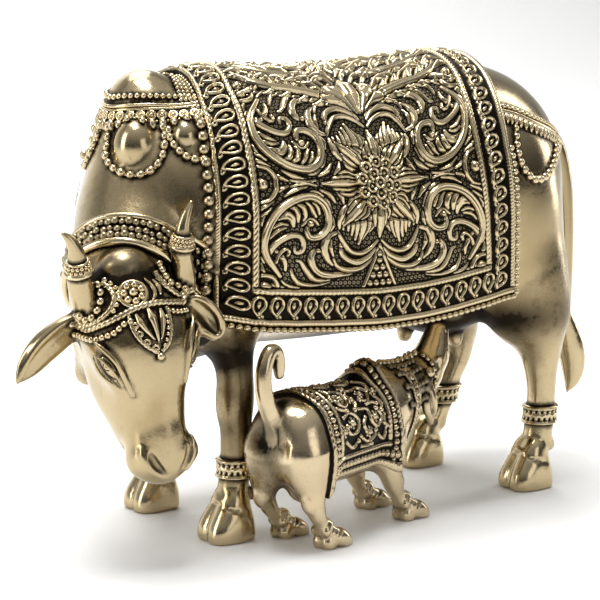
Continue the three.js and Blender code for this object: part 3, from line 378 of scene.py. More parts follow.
def tangents(P, closed):
    if closed:
        T = np.roll(P, -1, 0) - np.roll(P, 1, 0)
    else:
        T = np.gradient(P, axis=0)
    return T / (np.linalg.norm(T, axis=1, keepdims=True) + 1e-9)


def beads(kit, P, r, N=None, T=None, size=(1, 1, 1), sub=2, dark=0.75, least=0.0):
    """Round or stretched beads: size is along the row, across it and out of the surface."""
    P = np.atleast_2d(P)
    V, F = ICO[sub]
    n = len(P)
    r = np.broadcast_to(np.asarray(r, float), (n,))
    if N is None:
        N = np.tile([0, 0, 1.0], (n, 1))
    if T is None:
        T = tangents(P, False) if n > 1 else np.array([[1.0, 0, 0]])
    B = np.cross(N, T)
    B /= np.linalg.norm(B, axis=1, keepdims=True) + 1e-9
    T = np.cross(B, N)
    W = V * np.array(size)
    out = P[:, None] + r[:, None, None] * (W[None, :, :1] * T[:, None] + W[None, :, 1:2] * B[:, None] + W[None, :, 2:] * N[:, None])
    # painted shade: each bead darkens on its underside toward the surface by dark, and least lays an even painted shade
    # over the whole bead
    patina_and_shade = np.maximum(np.clip(0.15 - V[:, 2] * 1.1, 0, 1) * dark, least)
    kit.add(out.reshape(-1, 3), None, (F[None] + (np.arange(n) * len(V))[:, None, None]).reshape(-1, 3), np.tile(patina_and_shade, n))


def resample(P, step, closed=False):
    Q = np.vstack([P, P[:1]]) if closed else P
    s = np.concatenate([[0], np.cumsum(np.linalg.norm(np.diff(Q, axis=0), axis=1))])
    m = max(2, round(s[-1] / step))
    t = np.linspace(0, s[-1], m + 1)
    if closed:
        t = t[:-1]
    return np.stack([np.interp(t, s, Q[:, k]) for k in range(Q.shape[1])], 1)


def tube(kit, P, r, sides=8, closed=False, N=None, wide=1.0, twist=0.0, strands=2, dark=0.7):
    """A cord along P; wide stretches it across, and twist is the lay of a rope's strands."""
    P = np.asarray(P, float)
    n = len(P)
    T = tangents(P, closed)
    if N is None:
        N = np.zeros_like(P)
        u = np.array([0, 0, 1.0]) if abs(T[0, 2]) < 0.9 else np.array([1.0, 0, 0])
        for i in range(n):
            u = u - T[i] * (u @ T[i])
            u /= np.linalg.norm(u)
            N[i] = u
    B = np.cross(N, T)
    B /= np.linalg.norm(B, axis=1, keepdims=True) + 1e-9
    N = np.cross(T, B)
    th = np.arange(sides) * 2 * math.pi / sides
    r = np.broadcast_to(np.asarray(r, float), (n,))
    R = np.repeat(r[:, None], sides, 1)
    # painted shade on the side of the cord that faces the surface, scaled by dark
    patina_and_shade = np.tile(np.clip(0.1 - np.cos(th) * 1.0, 0, 1) * dark, (n, 1))
    if twist:
        s = np.concatenate([[0], np.cumsum(np.linalg.norm(np.diff(P, axis=0), axis=1))])
        w = np.abs(np.cos(strands / 2 * th[None] - math.pi * s[:, None] / twist))
        R = R * (0.74 + 0.26 * w)
        patina_and_shade = np.clip(patina_and_shade + 0.9 * (1 - w) ** 2.0, 0, 1)
    V = P[:, None] + R[:, :, None] * (np.cos(th)[None, :, None] * N[:, None] + wide * np.sin(th)[None, :, None] * B[:, None])
    i = np.arange(n if closed else n - 1)[:, None]
    j = np.arange(sides)[None]
    i2, j2 = (i + 1) % n, (j + 1) % sides
    Q = np.stack([i * sides + j, i2 * sides + j, i2 * sides + j2, i * sides + j2], -1).reshape(-1, 4)
    V, patina_and_shade = V.reshape(-1, 3), patina_and_shade.ravel()
    Tr = []
    if not closed:
        V = np.vstack([V, P[:1] - T[:1] * r[0] * 0.4, P[-1:] + T[-1:] * r[-1] * 0.4])
        patina_and_shade = np.concatenate([patina_and_shade, [0.3, 0.3]])
        a, b = n * sides, n * sides + 1
        Tr = [[a, (k + 1) % sides, k] for k in range(sides)] + [[b, (n - 1) * sides + k, (n - 1) * sides + (k + 1) % sides] for k in range(sides)]
    kit.add(V, Q[:, ::-1], np.array(Tr)[:, ::-1] if len(Tr) else None, patina_and_shade)


# ------------------------------------------------------------------ the cow's body
def leg_front(F, s):
    y = STANCE
    F.add('ell', 10, (-62, s * 22, 90), (12, 12, 24), (0, 12, 0))
    F.add('tube', 8, [(-58, s * 25, 80, 12), (-56, s * (y - .5), 66, 8), (-54.8, s * y, 56, 5.9), (-54.2, s * y, 46, 5.7), (-54.2, s * y, 37, 4.9), (-54.4, s * y, 27, 4.7), (-55, s * y, 20, 4.7), (-55.4, s * y, 14.5, 5.0)])


def leg_rear(F, s, W):
    F.add('ell', 9, (58, s * 20, 80), (17, 13, 28), (0, -10, 0))
    F.add('tube', 8, [(58, s * (STANCE - 4), 74, 15), *W])


def hoof(F, x, y):
    for s in (-1, 1):
        F.add('tube', 1.0, [(x + .6, y + s * 1.9, 13.6, 3.7), (x - 2.2, y + s * 2.5, 8.5, 4.3), (x - 4.3, y + s * 3.0, 4.4, 4.6), (x - 5.0, y + s * 3.1, 2, 4.5)], None, 4)
        F.add('tube', 1.2, [(x + 2.0, y + s * 2.2, 12.5, 3.4), (x + 2.4, y + s * 2.7, 6, 4.3), (x + 2.5, y + s * 3.0, 2, 4.4)], None, 4)
        F.add('tube', 1.6, [(x - .4, y + s * 2.3, 13, 3.6), (x - .8, y + s * 2.9, 7.2, 4.4), (x - 1.2, y + s * 3.2, 2.2, 4.7)], None, 4)
        F.add('ell', 1.0, (x + 7.0, y + s * 2.6, 14.5), (1.6, 1.5, 2.2))
        F.add('tube', 0.4, [(x - 5.6, y + s * .8, 12.2, .3), (x - 4.4, y + s * 5.2, 11.4, .5), (x, y + s * 7.0, 10.0, .5), (x + 4.8, y + s * 6.4, 8.8, .4)], None, 3, cut=True)
    F.add('tube', 0.6, [(x - 6.2, y, 12, .3), (x - 7.8, y, 8, .45), (x - 9.6, y, 3, .6), (x - 10.3, y, -1, .7)], None, 4, cut=True)
    F.add('tube', 1.0, [(x - 3.6, y - 3.6, 12.6, .8), (x - 4.6, y, 13.4, .8), (x - 3.6, y + 3.6, 12.6, .8)], None, 4)


def body_field(F):
    F.add('loft', 0.1, TRUNK)
    F.add('ell', 6, (-73.5, 0, 134), (12.5, 12.5, 14.2))
    neck(F)
    for s in (-1, 1):
        leg_front(F, s)
    y = STANCE
    leg_rear(F, -1, [(63, -y + 1, 62, 12.5), (65.2, -y, 55, 9.3), (66.8, -y, 47.7, 6.9), (67.3, -y, 40, 5.4), (67.6, -y, 33, 4.7), (67.2, -y, 25, 4.7), (66, -y, 15.5, 5.0)])
    leg_rear(F, 1, [(61, y - 1, 62, 12), (64, y, 53, 8.4), (66, y, 45, 6.0), (65.2, y, 38, 5.2), (62.0, y, 31, 4.7), (59.4, y, 25, 4.7), (54.5, y, 15, 5.0)])
    F.add('ell', 6, (37, -3, 61), (14, 16, 8))
    F.add('tube', 6, [(-46, -4, 68.5, 8.6), (-20, -4, 68, 9.1), (8, -4, 68, 9.1), (30, -4, 68.5, 8.6)])
    for p in ([(30.5, -13, 57, 3.0), (30, -13.6, 54.5, 2.5)], [(41, -9, 54.5, 3.2), (41, -9.3, 51, 2.6)], [(31, 5, 55, 3.2), (30.5, 5.3, 51.5, 2.6)], [(41, 4, 54.5, 3.2), (41, 4.3, 51, 2.6)]):
        F.add('tube', 2, p)
    for x, yy in ((-56.6, -y), (-57.6, y), (62.8, -y), (50.3, y)):
        hoof(F, x, yy)
    F.add('tube', 4, [(72, 0, 124, 6), (80, -.5, 119, 5), (87.5, -1.5, 112, 4.2), (91.5, -2, 100, 3.5), (93, -2, 86, 3.2), (93.2, -2, 72, 3.1), (93, -2, 60, 2.9), (93, -2, 53.5, 2.3)])
    F.add('tube', 1.5, [(93, -2, 53.5, 2.4), (95.3, -2.3, 46, 3.8), (97, -2.6, 38, 4.6), (97.2, -2.8, 31, 3.4), (95, -3, 25, 0.8)], (0.54, 0.84, 0, 0.6))
    # hocks and knees
    F.add('ell', 3, (70.5, -y, 49.5), (3.2, 3.4, 5))
    F.add('ell', 3, (69.5, y, 47), (3.0, 3.2, 5))
    for s in (-1, 1):
        F.add('ell', 3, (-56.8, s * y, 43), (2.8, 4.2, 6.5))
        # the domes that hang from the belt
        F.add('ell', 1.2, (-82.9, s * 11.2, 126.0) if s < 0 else (-76.5, 17.5, 125.0), (6.8, 6.8, 8.6) if s < 0 else (5.0, 5.0, 6.5), (0, 0, 0))
        F.add('ell', 1.2, (-70.6, s * 20.6, 129.2), (4.6, 4.6, 5.4), (0, 0, 0))
        F.add('tube', 0.5, [(-82.8, s * 20.8, 121.0, .2), (-82.9, s * 24.0, 114.2, .45), (-82.6, s * 27.2, 107.0, .45), (-82.4, s * 29.4, 101.0, .4)])


def neck(F):
    F.add('tube', 10, [(-63, -2, 110, 28.5), (-75, -6, 102, 22.5), (-85, -13, 93, 18.5), (-92, -19, 85, 16)])
    F.add('tube', 6, [(-76, 0, 122, 9), (-82, -4, 113, 9), (-87, -10, 103, 9), (-91, -17, 95, 8)])
    F.add('tube', 9, [(-90, -12, 76, 12), (-80, -4, 71, 12), (-68, 0, 69, 12), (-56, 0, 66, 9)])
    F.add('tube', 5, [(-99, -12, 66, 4), (-97, -4, 55, 3.6), (-88, -1, 57, 4), (-76, 0, 59, 5), (-62, 0, 60, 5)], (0.3, 0.95, 0, 0.5))


# saddle cloth outline
EDGE_F = np.array([(60, -67.5), (78, -67.6), (103, -66.8), (122, -65.6), (138, -63.2), (144, -61), (147, -59.5), (156, -58)], float)
EDGE_R = np.array([(60, 41.5), (85, 41.6), (110, 40.8), (120, 40.8), (129, 41.6), (136, 42.8), (142.5, 44.5), (147, 46.5), (156, 47.5)], float)


def hem(X):
    return 66.9 + 3.6 * (np.maximum(X, 0) / 42) ** 2 + 3.6 * (np.minimum(X, 0) / 64) ** 2


def cloth_core(F):
    sl, X, Y, Z = F.box(np.array([-76, -46, 62]), np.array([50, 46, 156]))
    d = loft_d(X, Y, Z, np.array(CLOTH, float))
    xf, xr = np.interp(Z, EDGE_F[:, 0], EDGE_F[:, 1]), np.interp(Z, EDGE_R[:, 0], EDGE_R[:, 1])
    edge = np.maximum(np.maximum(xf - X, X - xr), hem(X) - Z) + 0.9
    out = d - (GROUND - 0.7)
    f = F.F[sl]
    F.F[sl] = smin(np.maximum(f, np.minimum(out, -edge)), smax(out, edge, 0.6), 0.3)


def ao(F, V, N):
    """Share of dark patina and painted shade: how closed in the surface is."""
    o = 0
    for d, w in ((0.8, 0.3), (1.6, 0.3), (3.0, 0.25), (5.5, 0.15)):
        o = o + w * np.clip((d * 0.92 - F.sample(V + N * d)) / d, 0, 1)
    return np.clip(o * 1.6, 0, 1)


COLLAR_AT, COLLAR_AXIS = np.array([-91.5, -19.5, 93.0]), np.array([-0.5, -0.62, -0.6])
COLLAR_AXIS = COLLAR_AXIS / np.linalg.norm(COLLAR_AXIS)


def collar_side(X, Y, Z):
    return (X - COLLAR_AT[0]) * COLLAR_AXIS[0] + (Y - COLLAR_AT[1]) * COLLAR_AXIS[1] + (Z - COLLAR_AT[2]) * COLLAR_AXIS[2]


# ------------------------------------------------------------------ the cow's head
def head_field(F):
    H = HEAD
    A = lambda kind, k, *a, cut=False: F.add(kind, k, *a, M=H, cut=cut)
    A('ell', 6, (13, 0, -5), (18, 16.5, 15))
    A('ell', 5, (20, 0, 2), (16, 15.5, 9))
    A('tube', 6, [(20, 0, -3, 13.5), (32, 0, -3.5, 12), (44, 0, -4.5, 9.4), (52, 0, -5, 8.2)], (0, 1, 0, 0.94))
    A('tube', 7, [(18, 0, -17, 12.5), (29, -.5, -16, 13), (40, -1, -13, 10.5), (51, -1, -11, 7.2)])
    A('tube', 4, [(51, -2, -4, 7.8), (55.5, -1.5, -5, 8)], (0, 0, 1, 0.9))
    A('tube', 3, [(55, -4.5, -5, 7), (55, 4, -5, 7)], (1, 0, 0, 0.8))
    A('ell', 3, (55.5, -1, -12), (6.5, 7.5, 5))
    A('ell', 3, (-3, 0, 2), (6, 7.5, 6.5))


def head_parts(F):
    """Horns, ears and the drawing of the face, set on the skull."""
    A = lambda kind, k, *a, cut=False: F.add(kind, k, *a, M=HEAD, cut=cut)
    A('tube', 1.5, [(11, 15.5, -1, 4.4), (6, 17.6, 1, 3.9), (.7, 18.0, 3, 3.4), (-3.6, 17.8, 5.5, 3.1), (-7, 18.6, 7.5, 2.7), (-10.5, 18.9, 9, 2.1), (-14.3, 20.8, 10, 1.5), (-17.5, 23.1, 10.5, 0.7)])
    A('tube', 1.5, [(9, -11.5, -2, 5.0), (3.7, -13.3, 0, 4.5), (-1.7, -14.7, 3, 3.9), (-7.3, -15.0, 6, 3.3), (-11.9, -15.2, 8.5, 2.3), (-15.4, -16.6, 10, 1.6), (-17.7, -18.6, 11, 0.7)])
    for s in (-1, 1):
        # lids, and the long fold over the eye that runs down to the tear duct
        A('tube', 0.6, [(19.4, s * 17.2, 6.0, .3), (22.0, s * 15.2, 7.6, .6), (25.4, s * 13.4, 8.1, .66), (28.6, s * 11.8, 7.2, .55), (31.6, s * 10.6, 6.0, .25)])
        A('tube', 0.6, [(19.6, s * 17.2, 5.4, .3), (22.4, s * 16.9, 4.3, .5), (25.6, s * 15.9, 4.1, .56), (28.4, s * 14.2, 4.8, .46), (31.2, s * 11.8, 5.6, .25)])
        A('tube', 1.0, [(15.4, s * 16.4, 6.6, .4), (18.8, s * 14.4, 8.6, .85), (23.2, s * 12.0, 9.6, 1.0), (28.4, s * 10.4, 8.6, .95), (34.4, s * 8.6, 6.8, .6)])
        A('tube', 0.5, [(18.4, s * 15.6, 8.0, .1), (23.6, s * 13.0, 9.2, .36), (28.8, s * 11.4, 8.0, .4), (33.8, s * 9.9, 6.2, .2)], cut=True)
        # nostril: a comma with a wing on the outside
        A('tube', 0.9, [(51.0, s * 8.2, 1.0, .5), (54, s * 8.2, .8, .95), (58, s * 6.6, .6, .9), (60.6, s * 4.4, 0, .6)])
        A('tube', 0.6, [(52.4, s * 6.4, 3.2, .35), (54.4, s * 6.3, 2.8, 1.15), (57.0, s * 5.3, 2.4, 1.25), (59.4, s * 3.6, 1.6, .8), (61.0, s * 2.2, .8, .3)], cut=True)
        # mouth
        A('tube', 0.8, [(43, s * 9.5, -12.5, .2), (50, s * 9.0, -11.3, .5), (56.5, s * 8.3, -10.6, .55), (61.4, s * 5.0, -9.8, .5), (63.2, 0, -9.6, .5)], cut=True)
        A('tube', 2.0, [(36, s * 8.5, -19, 1.5), (44, s * 8.4, -14.5, 1.6), (49, s * 8.2, -12.8, 1.0)])
    # flat of the nose
    A('ell', 2.0, (49.5, 0, 0.6), (8.5, 5.6, 3.6), (0, 14, 0))
    # ears: the near one reaches out; the other is folded forward and shows its hollow
    A('tube', 2, [(9, -14, -6, 3.6), (11, -20, -7, 4.8), (14, -27, -7.5, 5.2), (18, -33, -7.5, 4.0), (22, -38, -7.5, 0.8)], (0.35, 0.1, 0.93, 0.42))
    A('tube', 1.0, [(13.5, -18.5, -4.6, 1.2), (16.2, -24, -4.9, 2.5), (18.8, -29.5, -5.3, 2.1), (21.0, -35, -6.2, .5)], (0.35, 0.1, 0.93, 0.55), cut=True)
    A('tube', 0.8, [(7.6, -17.5, -3.2, 1.0), (9.0, -23.0, -4.2, 1.5), (12.2, -29.2, -5.0, 1.5), (16.6, -34.0, -5.8, 1.0), (21.6, -37.6, -7.2, .5)])
    A('tube', 1.6, [(10.5, 12.5, 1.5, 3.4), (13.4, 16.4, 4.2, 4.2), (17.2, 20.0, 5.2, 4.9), (20.8, 21.8, 5.0, 4.0), (23.9, 23.0, 4.8, 1.4)], (0.1, 0.1, 0.99, 0.42))
    A('tube', 0.8, [(12.4, 16.2, 7.4, .8), (15.0, 18.6, 7.8, 2.4), (18.4, 21.0, 7.4, 2.9), (21.4, 22.2, 6.8, 1.9), (23.4, 22.8, 6.6, .5)], cut=True)
    A('tube', 0.6, [(11.0, 15.6, 4.8, .8), (10.8, 18.4, 6.6, 1.0), (13.1, 21.4, 7.4, 1.2), (17.5, 24.0, 7.0, 1.2), (22.2, 24.3, 6.0, 1.1), (24.1, 22.0, 5.9, .9), (22.4, 19.6, 6.1, .9), (20.2, 17.1, 5.2, .8)])


# ------------------------------------------------------------------ cloth carving
CELL = 10      # raster cells to the millimetre


class Sheet:
    """Heights of a carved sheet over a plan in millimetres."""
    def __init__(s, a0, a1, b0, b1):
        s.a = a0 + np.arange(round((a1 - a0) * CELL) + 1) / CELL
        s.b = b0 + np.arange(round((b1 - b0) * CELL) + 1) / CELL
        s.H = np.zeros((len(s.a), len(s.b)), np.float32)

    def window(s, lo, hi):
        i0, i1 = np.searchsorted(s.a, lo[0]), np.searchsorted(s.a, hi[0])
        j0, j1 = np.searchsorted(s.b, lo[1]), np.searchsorted(s.b, hi[1])
        return (slice(i0, i1), slice(j0, j1)), s.a[i0:i1][:, None], s.b[j0:j1][None]

    def stroke(s, pts, r, h=1.0, groove=0.0, moat=0.28, base=0.0, power=2.0, n=6, closed=False, lean=0.0):
        """A ridge along a smooth line. r is one radius, or start, middle and end."""
        P = catmull(pts, n, closed)
        if closed:
            P = np.vstack([P, P[:1]])
        m = len(P)
        if np.ndim(r) == 0:
            R = np.full(m, float(r))
        else:
            R = np.interp(np.linspace(0, 1, m), np.linspace(0, 1, len(r)), r)
        e = R.max() + moat + 0.1
        sl, A, B = s.window(P.min(0) - e, P.max(0) + e)
        if s.H[sl].size == 0:
            return
        best = np.full(s.H[sl].shape, 9.0)
        rad = np.full(best.shape, 1.0)
        hand = np.zeros(best.shape)
        for i in range(m - 1):
            x0, y0 = P[i]
            dx, dy = P[i + 1] - P[i]
            L = dx * dx + dy * dy + 1e-9
            t = np.clip(((A - x0) * dx + (B - y0) * dy) / L, 0, 1)
            rr = R[i] + (R[i + 1] - R[i]) * t
            q = np.hypot(A - x0 - t * dx, B - y0 - t * dy) / rr
            up = q < best
            best = np.where(up, q, best)
            rad = np.where(up, rr, rad)
            if lean:
                hand = np.where(up, ((A - x0) * dy - (B - y0) * dx) / (math.sqrt(L) * rr), hand)
        top = np.clip(1 - best ** power, 0, 1) ** (1 / power)
        if groove:
            top = top - groove * np.exp(-(best / 0.33) ** 2)
        if lean:
            top = top * (1 + lean * np.clip(hand, -1, 1))
        full = np.clip(rad / max(R.max(), 1e-6), 0.45, 1)
        cur = s.H[sl]
        inside, edge = best < 1, (best >= 1) & ((best - 1) * rad < moat)
        s.H[sl] = np.where(inside, base + h * full * top, np.where(edge, np.minimum(cur, base), cur))

    def dome(s, c, r, h=None, base=0.0, moat=0.25, ry=None):
        ry = r if ry is None else ry
        h = r if h is None else h
        sl, A, B = s.window((c[0] - r - moat, c[1] - ry - moat), (c[0] + r + moat, c[1] + ry + moat))
        q = np.hypot((A - c[0]) / r, (B - c[1]) / ry)
        cur = s.H[sl]
        s.H[sl] = np.where(q < 1, base + h * np.sqrt(np.clip(1 - q * q, 0, 1)), np.where((q - 1) * r < moat, np.minimum(cur, base), cur))

    def ring(s, c, r, w=0.35, h=0.8, base=0.0, dot=0.0):
        sl, A, B = s.window((c[0] - r - w - .3, c[1] - r - w - .3), (c[0] + r + w + .3, c[1] + r + w + .3))
        d = np.hypot(A - c[0], B - c[1])
        q = np.abs(d - r) / w
        cur = s.H[sl]
        z = np.where(q < 1, base + h * np.sqrt(np.clip(1 - q * q, 0, 1)), np.where(d < r + w + .25, base, cur))
        if dot:
            z = np.where(d < dot, base + h * np.sqrt(np.clip(1 - (d / dot) ** 2, 0, 1)), z)
        s.H[sl] = z

    def rope(s, along, at, lo, hi, R, pitch=1.45, h=1.1, base=0.0, lean=0.55):
        """A straight twisted rope: along 'a' or 'b', at the other value."""
        w = R + 0.3
        if along == 'b':
            sl, A, B = s.window((at - w, lo), (at + w, hi))
            d, t = A - at + 0 * B, B + 0 * A
        else:
            sl, A, B = s.window((lo, at - w), (hi, at + w))
            d, t = B - at + 0 * A, A + 0 * B
        q = np.abs(d) / R
        g = np.abs(np.sin(math.pi * (t / pitch + lean * d / R)))
        z = base + h * np.sqrt(np.clip(1 - q * q, 0, 1)) * (0.35 + 0.65 * g ** 0.6)
        cur = s.H[sl]
        s.H[sl] = np.where(q < 1, z, np.minimum(cur, base))


def blur(H, sigma):
    """Three passes of a box; near enough to a bell curve."""
    w = max(1, int(round(sigma * CELL * 1.0)))
    for _ in range(3):
        for ax in (0, 1):
            P = np.pad(H, [(w + 1, w) if k == ax else (0, 0) for k in (0, 1)], mode='edge')
            C = np.cumsum(P, axis=ax, dtype=np.float64)
            a = np.take(C, np.arange(2 * w + 1, C.shape[ax]), axis=ax)
            b = np.take(C, np.arange(0, C.shape[ax] - 2 * w - 1), axis=ax)
            H = ((a - b) / (2 * w + 1)).astype(np.float32)
    return H


# warp between the carving's plan (a, b) and places on the cloth (x, v)
W_V = np.array([0, 8, 20, 30, 40, 50, 60, 73, 85, 103.0])
W_RIM = np.interp(W_V, [0, 8, 20, 40, 60, 85, 103], [-59.8, -60.9, -63.2, -65.8, -66.9, -67.4, -67.7])
W_IN = np.interp(W_V, [0, 10, 20, 40, 60, 80, 103], [-49.5, -51.5, -54, -56, -56.5, -57, -57])
W_JN = np.interp(W_V, [0, 10, 19, 25, 36, 49, 61, 73.5, 82, 103], [36, 34, 32.7, 31, 29, 28.2, 29, 30.3, 31, 31.2])
W_OUT = np.interp(W_V, [0, 10, 21, 28, 36, 44, 53, 65, 78, 103], [46.5, 45.3, 44, 42.7, 41.5, 40.2, 39.8, 40.7, 41, 41])
W_RX, W_RV = [-69, -65, -61, -57, -52.5, -43, -30, -12, 5, 18, 31, 41, 47], [76, 79.6, 83.4, 86.5, 88.4, 90.0, 90.8, 91.2, 91.4, 91.0, 89.6, 87.6, 86.6]
PLAN_IN, PLAN_OUT = 42.7, 53.4
ROPE_B = 90.0


def knots(v):
    return [np.interp(v, W_V, W) for W in (W_RIM, W_IN, W_JN, W_OUT)]


def plan_to_cloth(a, b):
    """(x, v) of a place of the plan."""
    v = b.copy()
    for _ in range(2):
        r, i, j, o = knots(v)
        xs = np.where(a < -PLAN_IN, i + (a + PLAN_IN) * (i - r) / (PLAN_OUT - PLAN_IN),
                      np.where(a < 0, -12 + a * (-12 - i) / PLAN_IN, np.where(a < PLAN_IN, -12 + a * (j + 12) / PLAN_IN, j + (a - PLAN_IN) * (o - j) / (PLAN_OUT - PLAN_IN))))
        vr = np.interp(xs, W_RX, W_RV)
        v = np.where(b < ROPE_B, b * vr / ROPE_B, vr + (b - ROPE_B))
    return xs, v


def cloth_to_plan(p):
    """The plan's (a, b) of points (x, v)."""
    p = np.array(p, float)
    x, v = p[:, 0], p[:, 1]
    r, i, j, o = knots(v)
    a = np.where(x < i, -PLAN_IN + (x - i) * (PLAN_OUT - PLAN_IN) / (i - r), np.where(x < -12, (x + 12) * PLAN_IN / (-12 - i),
                 np.where(x < j, (x + 12) * PLAN_IN / (j + 12), PLAN_IN + (x - j) * (PLAN_OUT - PLAN_IN) / (o - j))))
    vr = np.interp(x, W_RX, W_RV)
    b = np.where(v < vr, v * ROPE_B / vr, v - vr + ROPE_B)
    return np.stack([a, b], 1)


TABLE_X, TABLE_V = np.arange(-76, 52.01, 0.5), np.arange(0, 108.01, 0.25)


def cloth_table():
    fine = catmull(CLOTH, 8)
    P = np.zeros((len(TABLE_X), len(TABLE_V), 3))
    t = np.linspace(0, math.pi * 0.93, 900)
    s, c = np.sin(t), np.cos(t)
    for i, x in enumerate(TABLE_X):
        zc, hy, up, dn, nu, nd = [np.interp(x, fine[:, 0], fine[:, k]) for k in range(1, 7)]
        n, h = np.where(c >= 0, nu, nd), np.where(c >= 0, up, dn)
        y, z = hy * np.abs(s) ** (2 / n), zc + np.sign(c) * h * np.abs(c) ** (2 / n)
        dy, dz = np.gradient(y), np.gradient(z)
        L = np.hypot(dy, dz) + 1e-9
        yo, zo = y - dz / L * 2.6, z + dy / L * 2.6
        v = np.concatenate([[0], np.cumsum(np.hypot(np.diff(yo), np.diff(zo)))])
        P[i, :, 0] = x
        P[i, :, 1] = -np.interp(TABLE_V, v, yo)
        P[i, :, 2] = np.interp(TABLE_V, v, zo)
    P[:, 0, 1] = 0
    du, dv = np.gradient(P, axis=0), np.gradient(P, axis=1)
    du[:, 0], dv[:, 0] = [1, 0, 0], [0, -1, 0]
    N = np.cross(dv, du)
    N /= np.linalg.norm(N, axis=2, keepdims=True) + 1e-9
    return P, N


CT_P, CT_N = cloth_table()


def on_cloth(x, v, off):
    """Places on the near side of the cloth, off millimetres out of the barrel; v under 0 runs over the spine."""
    sgn = np.where(v < 0, -1.0, 1.0)
    x, w = np.clip(x, TABLE_X[0], TABLE_X[-1] - 1e-6), np.clip(np.abs(v), 0, TABLE_V[-1] - 1e-6)
    i, j = ((x - TABLE_X[0]) / 0.5).astype(int), (w / 0.25).astype(int)
    s, t = ((x - TABLE_X[0]) / 0.5 - i)[..., None], (w / 0.25 - j)[..., None]
    mix = lambda A: (A[i, j] * (1 - s) + A[i + 1, j] * s) * (1 - t) + (A[i, j + 1] * (1 - s) + A[i + 1, j + 1] * s) * t
    P, N = mix(CT_P), mix(CT_N)
    P, N = P * np.stack([np.ones_like(sgn), sgn, np.ones_like(sgn)], -1), N * np.stack([np.ones_like(sgn), sgn, np.ones_like(sgn)], -1)
    N /= np.linalg.norm(N, axis=-1, keepdims=True)
    return P + N * (off - 2.6)[..., None], N


def loop(S, c, to, base=0.4, flip=1, tail=1):
    """A drop with a double rim and a dome, whose pointed end runs on into a hook. to turns (right, down) into the plan."""
    tr = lambda L: [(c[0] + to[0][0] * u * flip + to[0][1] * w, c[1] + to[1][0] * u * flip + to[1][1] * w) for u, w in L]
    if tail:
        S.stroke(tr([(-2.5, .1), (-3.3, .5), (-3.7, 1.3), (-3.2, 1.9), (-2.6, 1.7)]), (.45, .4, .36, .34), 1.2, base=base, moat=.12)
        S.dome(tr([(-2.7, 1.5)])[0], .5, 1.2, base, moat=0)
    S.stroke(tr([(-2.9, .2), (-1.9, -1.25), (-.2, -1.95), (1.6, -1.65), (2.5, -.2), (1.9, 1.35), (.3, 1.75), (-1.4, 1.05), (-2.9, .2)]), (.62, .54, .54, .5, .5), 1.5, base=base, moat=.12)
    S.stroke(tr([(-1.1, .1), (0, -.1), (.8, -.1)]), (.25, .72, .6), .95, base=base, moat=.1)


